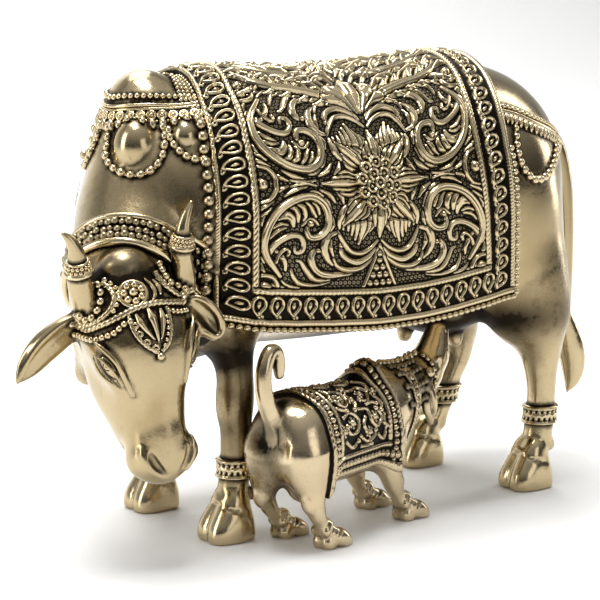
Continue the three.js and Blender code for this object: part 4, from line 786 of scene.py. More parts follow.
def quadrant():
    """The lower right quarter of the carved field; the others are its mirror images."""
    S = Sheet(0, 43.2, 55.8, 90.6)
    # ground of tiny rings
    pitch = 1.55
    for i in range(29):
        for j in range(24):
            S.ring((i * pitch + (0.5 * pitch if j % 2 else 0), 56.4 + j * pitch * 0.9), 0.47, 0.27, 0.44)
    P = lambda L: cloth_to_plan(L)
    ST = lambda pts, r, h, **k: S.stroke(pts, np.array(r) * 1.2, h, moat=.22, **k)
    # leaves that fill the middle ground
    ST(P([(11, 89.5), (17, 89.8), (21, 88.5), (22.8, 86.8)]), (.3, .75, .3), 1.3, lean=.3)
    ST(P([(6, 88), (12, 89), (17, 88), (19, 85.5), (19.5, 83.5)]), (.3, .8, .4), 1.4, lean=.3)
    ST(P([(2, 86), (8, 87.4), (12, 86.9), (14.5, 84), (16, 81.5), (17.5, 80.8)]), (.3, .9, .4), 1.5, lean=.3)
    ST(P([(-6, 84.5), (-1, 85.3), (5, 85.9), (9.5, 85.2), (12, 83), (12.6, 80), (11.5, 78.2), (9.8, 77.9)]), (.3, .95, 1.05, .5), 1.8, groove=.3)
    S.dome(P([(9.9, 78.0)])[0], 0.9, 1.5)
    ST(P([(-10.5, 78.5), (-8, 81.5), (-4.5, 83.8), (0, 84.3), (3.5, 83), (4.8, 80)]), (.4, .8, .8, .35), 1.5, lean=.3)
    ST(P([(-10.5, 77.5), (-8, 80), (-4, 81.8), (-1, 81.3), (1.2, 79.8), (2, 77.5), (1.8, 76.3)]), (.4, .9, .8, .5), 1.7, groove=.25)
    S.dome(P([(1.8, 76.4)])[0], 0.95, 1.7)
    ST(P([(-11.3, 75), (-8.5, 77.5), (-5, 79), (-1.5, 78.5), (.5, 76.5), (2, 74), (3, 72)]), (.4, .8, .8, .4), 1.5, lean=.3)
    ST(P([(3.5, 72.5), (6.5, 73.5), (8, 77), (7, 80.5), (5, 82.5)]), (.5, 1.1, 1.0, .4), 1.8, groove=.3)
    ST(P([(5.2, 74.6), (5.6, 77.2), (4.6, 79.8)]), (.3, .6, .3), 1.4)
    ST(P([(-3, 62.5), (.5, 65), (2.2, 68.5), (2.3, 71)]), (.4, .9, .4), 1.7, groove=.25)
    ST(P([(-1, 66), (.8, 69), (1, 71.5)]), (.3, .6, .3), 1.4)
    # fluted leaf
    for q, w in ((-3, .8), (3, .8), (-2, 1.0), (2, 1.0), (-1, 1.1), (1, 1.1), (0, 1.2)):
        ST(P([(-5.6 + q * .6, 62.6), (-6.0 + q * 1.5, 66.6), (-5.8 + q * 1.62, 71.0 - abs(q) * .4), (-4.4 + q * 1.2, 76.0 - abs(q) * 1.4)]), (.5, w, w * .8, .35), 2.1 - .16 * abs(q), groove=.2, lean=.25 * np.sign(q))
    # sprays outside the scroll
    for q, r in (([(29, 64.5), (26.5, 62.8), (23.5, 61.5)], .7), ([(29.2, 67.5), (27, 65.4), (24.5, 63.6)], .6), ([(29.3, 71.5), (28.6, 68.6), (27, 66)], .55),
                 ([(20, 60.4), (16, 58.4), (12, 57.6)], .75), ([(17.5, 57.4), (13, 56.6), (9, 57.4)], .65), ([(9.5, 60.6), (6.5, 62.6), (4.6, 66)], .9),
                 ([(8, 58.8), (5, 60.4), (3.2, 62.8)], .8), ([(4.4, 67.6), (4.6, 70), (5.6, 72)], .6), ([(26.2, 87.4), (24.5, 88.4), (21.5, 89.3)], .6), ([(29.2, 80.5), (28.6, 83), (27.4, 85)], .6),
                 ([(29.4, 76.0), (28.9, 78.6), (28.2, 80.6)], .5), ([(22.4, 59.2), (20.2, 57.8), (18.2, 57.2)], .6), ([(12.4, 59.4), (9.4, 59.6), (7.2, 60.8)], .6), ([(2.8, 59.0), (1.0, 61.0), (.4, 63.2)], .7)):
        ST(P(q), (.3, r, .3), 1.5, lean=.25)
    # inside the scroll: leaves that radiate
    ST(P([(24.5, 67.5), (20.5, 66.2), (18.5, 67.5), (18, 69.8)]), (.6, 1.35, 1.1, .5), 1.8, groove=.35)
    ST(P([(17, 62.6), (14.5, 64), (13.8, 66.5), (14.3, 68.3)]), (.4, .85, .7, .5), 1.6, lean=.3)
    ST(P([(13.2, 62.4), (11.8, 64), (11, 66), (10.3, 67.2)]), (.4, .65, .5), 1.4, lean=.3)
    ST(P([(11, 62.4), (9.6, 64.2), (9, 66.3)]), (.4, .55, .4), 1.3, lean=.3)
    ST(P([(20.0, 63.4), (17.4, 64.2), (16.3, 66.4), (16.4, 68.4)]), (.4, .85, .8, .5), 1.6, lean=.3)
    ST(P([(15.2, 69.8), (12.8, 68.2), (10.8, 68.4), (9.6, 69.8)]), (.35, .6, .35), 1.2)
    ST(P([(26.3, 75.6), (23.6, 78.0), (21.6, 81.0), (21.4, 83.6)]), (.4, .8, .4), 1.5, lean=-.3)
    ST(P([(24.5, 81), (23.6, 78.8), (21.3, 76.9), (19.9, 77.6), (20.4, 79)]), (.45, .5, .4), 1.4)
    ST(P([(27.3, 78.5), (25.5, 76), (22.5, 74), (19, 72.8), (16.3, 73.2), (15, 75.3), (15.6, 77.8), (17.6, 78.2), (18, 76.5)]), (1.0, .85, .8, .7, .45), 1.8, groove=.3)
    ST(P([(26.5, 73.4), (23.4, 70.9), (20.4, 70.2)]), (.3, .65, .3), 1.4)
    ST(P([(25.8, 70.4), (22.4, 68.9), (19.8, 69.4)]), (.3, .6, .3), 1.3)
    # the scroll itself
    ST(P([(12.2, 69.3), (13.6, 71.3), (12.8, 73.6), (9.5, 73.4), (6.9, 71), (6.2, 67.3), (7.3, 63.6), (10.3, 61.2), (14, 60.9), (18.5, 62.3), (22.5, 64.8), (25.6, 68.3), (27.5, 72.4), (28, 76), (27, 79.5), (25.2, 82.5), (23.3, 85.3)]),
       (.55, .9, 1.0, 1.1, 1.1, 1.1, 1.1, 1.0, .6), 2.1, groove=.36, power=2.0)
    S.dome(P([(12.4, 69.4)])[0], 1.1, 1.9)
    # corner boss, and half of the boss between two scrolls
    ST(P([(24.5, 91), (24.2, 88), (26, 85.3), (29, 84.7), (31, 85.3)]), (.5, .75, .5), 1.5)
    S.dome(P([(28.0, 88.6)])[0], 2.0, 2.0)
    ST(P([(28, 61.8), (24.5, 60.8), (22.3, 58), (22, 55.5)]), (.4, .7, .7), 1.5)
    S.dome((40.0, 56.0), 1.75, 1.9)
    return S


def field_sheet():
    S = Sheet(-54.9, 54.9, 0, 103.2)
    Q = quadrant()
    full = np.concatenate([Q.H[::-1][:-1], Q.H], 0)                 # mirrored about a = 0
    i0 = np.searchsorted(S.a, -43.2 - 1e-6)
    j0 = np.searchsorted(S.b, 55.8 - 1e-6)
    up = full[:, ::-1]
    j1 = j0 - up.shape[1] + 1
    S.H[i0:i0 + full.shape[0], max(j1, 0):j0 + 1] = up[:, max(0, -j1):]
    S.H[i0:i0 + full.shape[0], j0:j0 + full.shape[1]] = full
    ST = lambda pts, r, h, moat=.22, **k: S.stroke(pts, np.array(r) * 1.15, h, moat=moat, **k)
    # over the back: on each side a stem that sweeps out from the middle, with long leaves and a scroll
    sl, A, B = S.window((-43, -0.1), (43, 21.9))
    S.H[sl] = 0
    for i in range(56):
        for j in range(15):
            S.ring((-42.8 + i * 1.55 + (0.78 if j % 2 else 0), 0.4 + j * 1.4), 0.47, 0.27, 0.44)
    BK = lambda pts, r, h, **k: S.stroke(pts, np.array(r) * 1.3, h, moat=.24, **k)
    for m in (-1, 1):
        M = lambda L: [(m * p, q) for p, q in L]
        for x, y, k in ((9.5, 25.4, 1.0), (14.5, 23.4, 1.1), (20.0, 21.6, 1.15), (25.5, 20.2, 1.1), (31.0, 18.2, .95)):
            BK(M([(x, y), (x + 1.2 * k, y - 4.0 * k), (x + 4.6 * k, y - 6.8 * k), (x + 8.2 * k, y - 7.2 * k)]), (.5, 1.15, 1.1, .3), 2.1, groove=.25, lean=.25)
            BK(M([(x + 2.6, y - .8), (x + 4.2 * k, y - 3.2 * k), (x + 7.4 * k, y - 4.0 * k)]), (.4, .9, .25), 1.8, lean=.25)
            BK(M([(x + .5, y + .6), (x + 3.2, y + 3.2), (x + 6.2, y + 3.6)]), (.4, 1.0, .25), 1.8, lean=-.25)
        for x, y in ((8.5, 11.5), (15.5, 12.6), (22.5, 11.4), (29.0, 8.4)):
            BK(M([(x, y), (x + 2.4, y - 4.6), (x + 6.6, y - 6.4), (x + 9.6, y - 5.4)]), (.5, 1.2, 1.0, .3), 2.1, groove=.25, lean=.25)
            BK(M([(x + 1.0, y + .8), (x + 4.0, y + .4), (x + 7.2, y - 1.8)]), (.4, .95, .3), 1.8, lean=.2)
        BK(M([(7.5, 12.5), (14, 13.8), (21, 13.0), (28, 10.4), (34.5, 5.0), (37.5, -1)]), (.6, 1.15, 1.1, .5), 2.2, groove=.3)
        BK(M([(4.5, 30.5), (8.5, 27.0), (14, 24.6), (21, 22.4), (29, 20.4), (35.5, 16), (39.6, 8)]), (.6, 1.2, 1.2, 1.0, .4), 2.3, groove=.32)
        for q in ([(8, 8.5), (12.5, 5.8), (15.5, 1.5)], [(3.5, 14.5), (5.5, 11.5), (9.5, 10.0)], [(10, 3.0), (16, 3.2), (22, .5)], [(16.5, 8.6), (20, 4.6), (24.5, 2.8)], [(24.5, 6.8), (27.5, 3.6), (31, 2.2)], [(1.5, 13.5), (2.6, 11.4), (2.8, 9.4)], [(12.5, 17.6), (17.5, 16.4), (21.5, 17.0)], [(24, 15.4), (28.4, 13.8), (32.6, 14.0)], [(33.5, 12.5), (37.4, 9.0), (41.5, 9.6)], [(35.5, 3.4), (39, 1.6), (42, 2.6)]):
            BK(M(q), (.4, 1.05, .3), 1.9, lean=.25)
        S.dome((m * 39.3, 19.4), 1.7, 1.7)
        for q, r in (([(1.6, 16.8), (3.4, 13.6), (6.4, 12.2), (9.2, 13.4)], 1.0), ([(7.2, 19.6), (9.8, 16.4), (13.6, 15.0), (17.2, 15.6)], 1.1), ([(9.6, 22.2), (12.4, 19.4), (16.4, 18.4)], .95),
                     ([(3.4, 18.6), (5.6, 16.0), (8.4, 15.4), (10.2, 16.8)], .9), ([(36.2, 16.4), (39.2, 14.2), (42.2, 14.6)], 1.0), ([(34.0, 19.8), (36.8, 22.4), (40.6, 23.0)], .95)):
            BK(M(q), (.45, r, .35), 2.0, lean=.25)
    for k, (tx, ty, w) in enumerate(((-9.6, 24.4, 1.7), (9.6, 24.4, 1.7), (-6.4, 19.2, 2.2), (6.4, 19.2, 2.2), (0, 17.2, 2.5))):          # palmette
        BK([(tx * .10, 32.4), (tx * .55, 30.4 + (ty - 32.0) * .34), (tx * 1.05, 32 + (ty - 32) * .72), (tx * .78, ty)], (.5, w, w * .95, .4), 2.4 + .12 * (k > 1), groove=.22, lean=.22 * np.sign(tx))
    for k in range(8):                                              # rosette on the spine
        t = math.pi * (k + 0.5) / 8
        ST([(2.2 * math.cos(t), 2.2 * math.sin(t)), (6.0 * math.cos(t), 6.0 * math.sin(t)), (10.6 * math.cos(t), 10.6 * math.sin(t))], (.8, 1.9, .5), 2.6, groove=.3)
    S.dome((0, 0), 2.6, 2.9)
    # flower in the middle
    C = (0.0, 56.0)
    lens = {0: (7.0, 20.0, 1.25), 1: (7.5, 18.5, 1.35), 2: (6.8, 17.0, 1.3), 3: (7.5, 18.5, 1.35)}
    for k in range(8):
        t = k * math.pi / 4
        r0, r1, w = lens[k % 4]
        c, sn = math.cos(t), math.sin(t)
        at = lambda f, g: (C[0] + f * c - g * sn, C[1] + f * sn + g * c)
        for q in (-2, 2, -1, 1, 0):
            e = r1 - abs(q) * 2.3
            ST([at(r0, q * .35), at(r0 + (e - r0) * .35, q * 1.45), at(r0 + (e - r0) * .72, q * 1.3), at(e, q * .75)], (.7, w, w * .8, .3), 2.3 - abs(q) * 0.28, moat=.2, lean=.3 * np.sign(q))
    for n, rr, ring, off in ((10, 6.4, 1.5, .2), (5, 3.25, 1.6, .3), (1, 0, 1.5, 0)):
        for k in range(n):
            t = 2 * math.pi * k / n + off
            S.ring((C[0] + rr * math.cos(t), C[1] + rr * math.sin(t)), ring, .5, 1.35, base=1.3, dot=.55)
    # the triangle of beads under it
    sl, A, B = S.window((-6.4, 75.6), (6.4, 89.4))
    inside = (np.abs(A) < (B - 75.6) * 0.44) & (B < 89.3)
    S.H[sl] = np.where(inside, 0, S.H[sl])
    for m in (-1, 1):
        ST([(0, 75.6), (m * 3, 82.2), (m * 6.2, 89.2)], .5, 1.1)
    for y, n in ((87.4, 4), (84.9, 3), (82.5, 2), (80.2, 1), (78.2, 1)):
        for k in range(n):
            S.dome(((k - (n - 1) / 2) * 2.35, y), 1.0, 1.25, ry=1.12)
    # border: ropes, drops and rims; its ground stands a little proud
    base = 0.4
    border = (np.abs(S.a)[:, None] > PLAN_IN + 0.2) | (S.b[None] > ROPE_B + 0.2)
    S.H[border] = base
    FRONT, LEVEL, HEM = ((1.28, .1), (-.08, 1.02)), ((.72, .62), (-.66, .8)), ((.26, .97), (-1.02, .27))
    for i, b in enumerate(np.arange(2.6, 89, 5.75)):
        loop(S, (-47.8, b), FRONT, base)
        loop(S, (48.1, b + .6), LEVEL, base)
    loop(S, (-47.6, 94.6), FRONT, base, tail=0)
    loop(S, (47.8, 95.2), LEVEL, base, tail=0)
    for i, a in enumerate(np.arange(-41.6, 43, 5.6)):
        loop(S, (a, 94.4), HEM, base)
    S.rope('b', -PLAN_IN, -0.2, ROPE_B + .9, 1.25, 1.9, 1.6, 0.2, 1.1)
    S.rope('b', PLAN_IN, -0.2, ROPE_B + .9, 1.15, 1.5, 1.5, 0.2, 1.0)
    S.rope('a', ROPE_B, -PLAN_IN - .6, PLAN_IN + .6, 1.1, 1.5, 1.45, 0.2, 1.0)
    S.rope('b', PLAN_OUT - .1, -0.2, 100.2, 1.05, 1.15, 1.3, base, 0.9)
    S.rope('a', 99.7, -PLAN_OUT - .5, PLAN_OUT + .6, 1.05, 1.15, 1.3, base, 0.9)
    S.rope('b', -53.6, 42, 103, 1.05, 1.15, 1.3, base, 0.9)
    sl, A, B = S.window((-54.8, -1), (-52.5, 44))
    q = np.abs(A + 53.6) / 0.95
    ripple = 1 + 0.12 * np.sin(B * 3.1 + 1.3 * np.sin(B * 1.7))
    S.H[sl] = np.where(q < 1, base + 1.25 * np.sqrt(np.clip(1 - q * q, 0, 1)) * ripple, base) + 0 * B
    sl, A, B = S.window((-54.8, 100.9), (54.9, 103.3))
    S.H[sl] = 0.1
    S.ground = np.where(border, base, 0).astype(np.float32)
    S.H = blur(S.H, 0.1)
    return S


def cavity(H, ground=0.0):
    """Share of dark patina: in grooves, and all over the low ground between the figures."""
    c = np.clip((blur(H, 0.5) - H) / 0.33, 0, 1) * 0.95 + np.clip((0.60 - (H - ground)) / 0.5, 0, 1) * 0.86
    return np.clip(c, 0, 1)


def pick(S, A, a, b):
    """Value of raster A of sheet S at (a, b), between cells."""
    i = np.clip((a - S.a[0]) * CELL, 0, len(S.a) - 1.001)
    j = np.clip((np.abs(b) - S.b[0]) * CELL, 0, len(S.b) - 1.001)
    i0, j0 = i.astype(int), j.astype(int)
    s, t = i - i0, j - j0
    return (A[i0, j0] * (1 - s) + A[i0 + 1, j0] * s) * (1 - t) + (A[i0, j0 + 1] * (1 - s) + A[i0 + 1, j0 + 1] * s) * t


def cloth_piece(name, S, patina_and_shade, a0, a1, b0, b1, step, side, mat, front=2.6):
    a, b = np.linspace(a0, a1, round((a1 - a0) / step) + 1), np.linspace(b0, b1, round((b1 - b0) / step) + 1)
    A, B = np.meshgrid(np.concatenate([a[:1], a, a[-1:]]), np.concatenate([b[:1], b, b[-1:]]), indexing='ij')
    h, c = pick(S, S.H, A, B), pick(S, patina_and_shade, A, B)
    drop = np.zeros_like(h)
    drop[-1], drop[:, 0], drop[:, -1] = 2.6, 2.6, 2.6
    drop[0] = front
    c = np.where(drop > 0, 0.55, c)
    x, v = plan_to_cloth(A, B)
    P, N = on_cloth(x, v, GROUND + h - drop)
    if side < 0:
        P[..., 1] *= -1
    n, m = A.shape
    i, j = np.meshgrid(np.arange(n - 1), np.arange(m - 1), indexing='ij')
    Q = np.stack([i * m + j, i * m + j + 1, (i + 1) * m + j + 1, (i + 1) * m + j], -1).reshape(-1, 4)
    if side < 0:
        Q = Q[:, ::-1]
    return make(name, P.reshape(-1, 3), Q, None, c.ravel(), mat, "cow")


# ------------------------------------------------------------------ materials
def brass(name, light, deep, ink, patina=1.0, rough=0.27, grain=1.0, warm=0.5):
    m = bpy.data.materials.new(name)
    m.use_nodes = True
    nt = m.node_tree
    nt.nodes.clear()
    new, link = nt.nodes.new, nt.links.new
    out, bsdf = new('ShaderNodeOutputMaterial'), new('ShaderNodeBsdfPrincipled')
    link(bsdf.outputs[0], out.inputs['Surface'])
    tc = new('ShaderNodeTexCoord')

    def noise(scale, detail=4.0, rgh=0.55):
        n = new('ShaderNodeTexNoise')
        n.inputs['Scale'].default_value = scale
        n.inputs['Detail'].default_value = detail
        n.inputs['Roughness'].default_value = rgh
        link(tc.outputs['Object'], n.inputs['Vector'])
        return n.outputs['Fac']

    def ramp(src, stops):
        r = new('ShaderNodeValToRGB')
        r.color_ramp.elements[0].position, r.color_ramp.elements[0].color = stops[0][0], (stops[0][1],) * 3 + (1,)
        r.color_ramp.elements[1].position, r.color_ramp.elements[1].color = stops[1][0], (stops[1][1],) * 3 + (1,)
        link(src, r.inputs['Fac'])
        return r.outputs['Color']

    def mix(a, b, fac):
        x = new('ShaderNodeMix')
        x.data_type = 'RGBA'
        for s, val in ((6, a), (7, b)):
            if isinstance(val, tuple):
                x.inputs[s].default_value = val + (1,)
            else:
                link(val, x.inputs[s])
        link(fac, x.inputs[0])
        return x.outputs[2]

    def mathn(op, a, b):
        x = new('ShaderNodeMath')
        x.operation = op
        x.use_clamp = True
        for s, val in ((0, a), (1, b)):
            if isinstance(val, (int, float)):
                x.inputs[s].default_value = val
            else:
                link(val, x.inputs[s])
        return x.outputs[0]

    at = new('ShaderNodeAttribute')
    at.attribute_type = 'GEOMETRY'
    at.attribute_name = 'patina_and_shade'
    patina_and_shade = at.outputs['Fac']
    big, mid, fine, pits = noise(55, 3), noise(240, 5, 0.65), noise(1500, 4, 0.6), noise(2600, 2, 0.5)
    # patina in the hollows and painted shade darken the colour together, with a broken edge
    patina_shade_mix = mathn('ADD', mathn('MULTIPLY', patina_and_shade, patina), mathn('MULTIPLY', mathn('SUBTRACT', mid, 0.5), 0.5))
    inkf = ramp(patina_shade_mix, ((0.22, 0.0), (0.72, 1.0)))
    tn = new('ShaderNodeAttribute')
    tn.attribute_type = 'GEOMETRY'
    tn.attribute_name = 'painted_shade'
    # random mottling between light and deep brass, plus the attribute of painted shade and dark reflection set on the
    # body and head
    col = mix(light, deep, mathn('ADD', ramp(big, ((0.40, 0.0), (0.75, 0.4))), tn.outputs['Fac']))
    copper = (min(1, light[0] * 1.02), light[1] * 0.72, light[2] * 0.62)
    col = mix(col, copper, mathn('MULTIPLY', ramp(mid, ((0.60, 0.0), (0.74, 1.0))), warm))
    col = mix(col, ink, inkf)
    pit = ramp(pits, ((0.66, 0.0), (0.74, 1.0)))
    col = mix(col, ink, mathn('MULTIPLY', pit, 0.55))
    link(col, bsdf.inputs['Base Color'])
    bsdf.inputs['Metallic'].default_value = 1.0
    rg = mathn('ADD', mathn('ADD', rough, mathn('MULTIPLY', mathn('SUBTRACT', fine, 0.35), 0.25)), mathn('MULTIPLY', inkf, 0.28))
    link(rg, bsdf.inputs['Roughness'])
    hgt = new('ShaderNodeMath')
    hgt.operation = 'SUBTRACT'
    link(fine, hgt.inputs[0])
    link(pit, hgt.inputs[1])
    bump = new('ShaderNodeBump')
    bump.inputs['Strength'].default_value = 0.22 * grain
    bump.inputs['Distance'].default_value = 0.00012
    link(hgt.outputs[0], bump.inputs['Height'])
    soft = new('ShaderNodeBump')
    soft.inputs['Strength'].default_value = 0.25 * grain
    soft.inputs['Distance'].default_value = 0.0006
    link(mid, soft.inputs['Height'])
    link(soft.outputs[0], bump.inputs['Normal'])
    link(bump.outputs[0], bsdf.inputs['Normal'])
    return m


INK = (0.014, 0.011, 0.008)
MAT_BODY = brass('brass_body', (0.58, 0.47, 0.285), (0.40, 0.31, 0.17), (0.022, 0.016, 0.011), rough=0.15, grain=0.55)
MAT_CARVED = brass('brass_carved', (0.70, 0.58, 0.365), (0.44, 0.35, 0.20), INK, rough=0.15, warm=0.35, grain=0.5)
MAT_CALF = brass('brass_calf', (0.66, 0.54, 0.35), (0.27, 0.20, 0.11), INK, rough=0.14, warm=0.6, grain=0.7)


# ------------------------------------------------------------------ ornaments on the cow
def on_body(F, pts, lift, n=10, step=None):
    P = catmull(pts, n)
    if step:
        P = resample(P, step)
    return snap(F, P, lift)


def belt(kit, F, K2):
    for s in (1, -1):
        S = (lambda L: [(x, y * s, z) for x, y, z in L])
        top = S([(-62.2, -16.2, 141), (-69.2, -13.4, 140.9), (-77.1, -11.0, 141.2), (-82, -7.0, 141.0), (-84.6, -2.2, 140.4), (-84.9, 0, 140.2)])
        P, N = on_body(F, top, 0.45, step=1.95)
        beads(kit, P, 0.98, N, None, (.95, 1, 1), least=.2, dark=1.1)
        mid = S([(-62.2, -17.8, 138.6), (-69.2, -15.6, 138.4), (-77.1, -12.4, 138.6), (-82.4, -8.4, 138.4), (-85.4, -3.4, 137.8), (-85.8, 0, 137.6)])
        P, N = on_body(F, mid, 0.35, step=0.7)
        tube(kit, P, 0.62, 8, N=N, wide=1.0)
        Pw, Nw = snap(F, P + np.array([0, 0, -1.25]), 0.1)
        tube(kit, Pw, 0.5, 6, N=Nw)
        row = S([(-63.2, -20.4, 135.6), (-69.6, -18.4, 135.2), (-77.1, -14.6, 135.4), (-82.6, -10.2, 135.2), (-86.2, -4.6, 134.6), (-86.9, 0, 134.4)])
        P, N = on_body(F, row, 0.4, step=3.3)
        T = tangents(P, False)
        down = np.cross(T, N)
        down *= np.sign(-down[:, 2])[:, None]
        Pg, _ = snap(F, P - down * 0.4, 0.5)
        tube_ring(kit, Pg, N, T, 1.25, 0.45)
        beads(kit, Pg, 0.85, N, T, (1, 1, 0.9), least=.25, dark=1.1)
        Pd, Nd = snap(F, P + down * 2.4 - T * 0.3, 0.6)
        beads(kit, Pd, 1.4, Nd, T + 0.35 * down, (0.85, 1.45, 0.9), least=.3, dark=1.2)
        Pe, Ne = snap(F, P + down * 1.5 + T * 1.65, 0.25)
        beads(kit, Pe, 0.55, Ne, T, (1, 1, 1), sub=1)
        # ring of beads round the large dome, and the shorter one beside it
        ring = S([(-87.0, -2.6, 131.4), (-89.4, -4.2, 127.2), (-90.4, -6.6, 122.6), (-89.6, -12.2, 118.8), (-86.4, -17.6, 117.6), (-82.2, -20.8, 119.6), (-79.0, -21.4, 124.0), (-77.2, -19.6, 128.6), (-76.6, -17.4, 132.6)])
        P, N = on_body(F, ring, 0.65, step=3.15)
        sz = np.where(np.arange(len(P)) % 3 == 0, 1.5, 1.32)
        beads(kit, P, sz, N, None, (1.12, 0.92, 0.95), least=.25, dark=1.1)
        Pl, Nl = on_body(F, ring, 0.2, step=0.7)
        tube(kit, Pl, 0.55, 6, N=Nl)
        ring = S([(-75.6, -19.0, 131.6), (-75.6, -21.6, 128.0), (-74.4, -24.2, 125.2), (-72.0, -26.6, 123.2), (-68.6, -28.4, 122.9)])
        P, N = on_body(F, ring, 0.6, step=2.7)
        beads(kit, P, 1.4, N, None, (1.1, 0.92, 0.95), least=.25, dark=1.1)


def tube_ring(kit, P, N, T, R, r, m=14, sides=6):
    """Small rings lying on the surface at each P."""
    for p, n, t in zip(P, N, T):
        b = np.cross(n, t)
        b /= np.linalg.norm(b)
        a = np.arange(m) * 2 * math.pi / m
        Q = p + R * (np.cos(a)[:, None] * t + np.sin(a)[:, None] * b)
        tube(kit, Q, r, sides, closed=True, N=np.tile(n, (m, 1)))


def crupper(kit, F):
    for s in (1, -1):
        S = (lambda L: [(x, y * s, z) for x, y, z in L])
        line = S([(42.5, -30.4, 134.4), (49.1, -28.0, 131.0), (57.9, -26.6, 126.9), (66, -22.6, 123.6), (73.8, -17.2, 120.6), (80.5, -11.2, 118.0), (86, -5.2, 115.4)])
        P, N = on_body(F, line, 0.45, step=2.3)
        T = tangents(P, False)
        beads(kit, P, 1.0, N, T, (1.15, 0.85, 0.9))
        down = np.cross(T, N)
        down *= np.sign(-down[:, 2])[:, None]
        P1, N1 = snap(F, P + down * 2.0, 0.3)
        P1 = catmull(P1, 4)
        P1, N1 = snap(F, P1, 0.3)
        tube(kit, P1, 0.75, 8, N=N1, wide=1.1)
        P2, N2 = snap(F, P[::1] + down * 4.2, 0.35)
        beads(kit, P2, 1.15, N2, T, (0.78, 1.75, 0.85))
        P3, N3 = snap(F, P + down * 6.1, 0.3)
        beads(kit, P3, 0.5, N3, T, sub=1)
        swag = S([(47.8, -31.9, 124.6), (46.2, -34.6, 118.4), (47.6, -36.4, 112.2), (52.4, -36.2, 108.0), (58.6, -34.2, 108.4), (64.6, -29.8, 111.6), (70.4, -23.4, 116.4), (74.6, -17.8, 118.8)])
        P, N = on_body(F, swag, 0.6, step=2.9)
        T = tangents(P, False)
        w = np.sin(np.linspace(0, np.pi, len(P)))
        beads(kit, P, 1.15 + 0.4 * w, N, T, (1.0, 0.92, 0.9))
        Pl, Nl = on_body(F, swag, 0.15, step=0.8)
        tube(kit, Pl, 0.5, 6, N=Nl)
        down = np.cross(T, N)
        down *= np.sign(-down[:, 2])[:, None]


def collar(kit, F, FB):
    """Two plain rims round the neck with two rows of gems between them."""
    out_pts = np.array([(-102.1, -10.4, 101.1), (-99.9, -15.9, 105), (-96.3, -20.1, 107.1), (-93.6, -23.5, 106.7), (-91, -26.8, 104.8), (-88.9, -30.3, 100.2), (-87.7, -34, 93.3)])
    in_pts = np.array([(-103.7, -20.9, 97.2), (-99.9, -25.2, 99.3), (-96.4, -28.2, 99.7), (-95.6, -31, 98.8), (-94.6, -35.3, 96.6), (-92.3, -36, 93.4)])
    loops = []
    for d in (-4.4, -2.4, 0.0, 2.0, 4.0):
        c = COLLAR_AT + COLLAR_AXIS * d
        u = np.cross([0, 0, 1.0], COLLAR_AXIS)
        u /= np.linalg.norm(u)
        w = np.cross(COLLAR_AXIS, u)
        far = []
        for k in range(72):
            a = 2 * math.pi * k / 72
            dr = u * math.cos(a) + w * math.sin(a)
            rr = np.arange(6, 34, 0.4)
            val = F.sample(c + dr * rr[:, None])
            hit = np.argmax(val > 0) if (val > 0).any() else len(rr) - 1
            far.append(rr[hit])
        far = np.array(far)
        far = np.minimum(far, 26)
        for _ in range(5):
            far = (np.roll(far, 1) + far + np.roll(far, -1)) / 3
        a = 2 * np.pi * np.arange(72) / 72
        loops.append((c, u, w, far, a))
    ring = lambda L, lift: L[0] + (np.cos(L[4])[:, None] * L[1] + np.sin(L[4])[:, None] * L[2]) * (L[3] + lift)[:, None]
    nrm = lambda L: (np.cos(L[4])[:, None] * L[1] + np.sin(L[4])[:, None] * L[2])
    # the band between the rims, coloured nearly black: patina on the sunken band and painted shade between the gems
    prof = [(0, -1.0), (0, 0.9), (1, 0.7), (2, 0.9), (3, 0.7), (4, 0.9), (4, -1.0)]
    V = np.concatenate([ring(loops[i], l) for i, l in prof])
    n = 72
    i, j = np.meshgrid(np.arange(len(prof) - 1), np.arange(n), indexing='ij')
    Q = np.stack([i * n + j, (i + 1) * n + j, (i + 1) * n + (j + 1) % n, i * n + (j + 1) % n], -1).reshape(-1, 4)
    kit.add(V, Q, None, 0.95)
    for k, r, lift in ((0, 0.95, 1.0), (4, 1.35, 0.8)):
        P = catmull(ring(loops[k], lift), 2, closed=True)
        tube(kit, P, r, 10, closed=True, N=catmull(nrm(loops[k]), 2, closed=True))
    for k, r, sh in ((1, 1.15, 0), (2, 1.05, 0.5), (3, 1.15, 0.5)):
        P = np.roll(resample(ring(loops[k], 1.25), 1.1, closed=True), int(2 * sh), 0)[::2]
        c = loops[k][0]
        N = P - c
        N /= np.linalg.norm(N, axis=1, keepdims=True)
        w = np.arange(len(P))
        beads(kit, P + N * (0.3 * np.sin(w * 2.7 + k))[:, None], r * (1.06 + 0.17 * np.sin(w * 4.1 + 2 * k)), N, tangents(P, True), (1.05, 0.95, 0.9), least=0.44, dark=1.3)


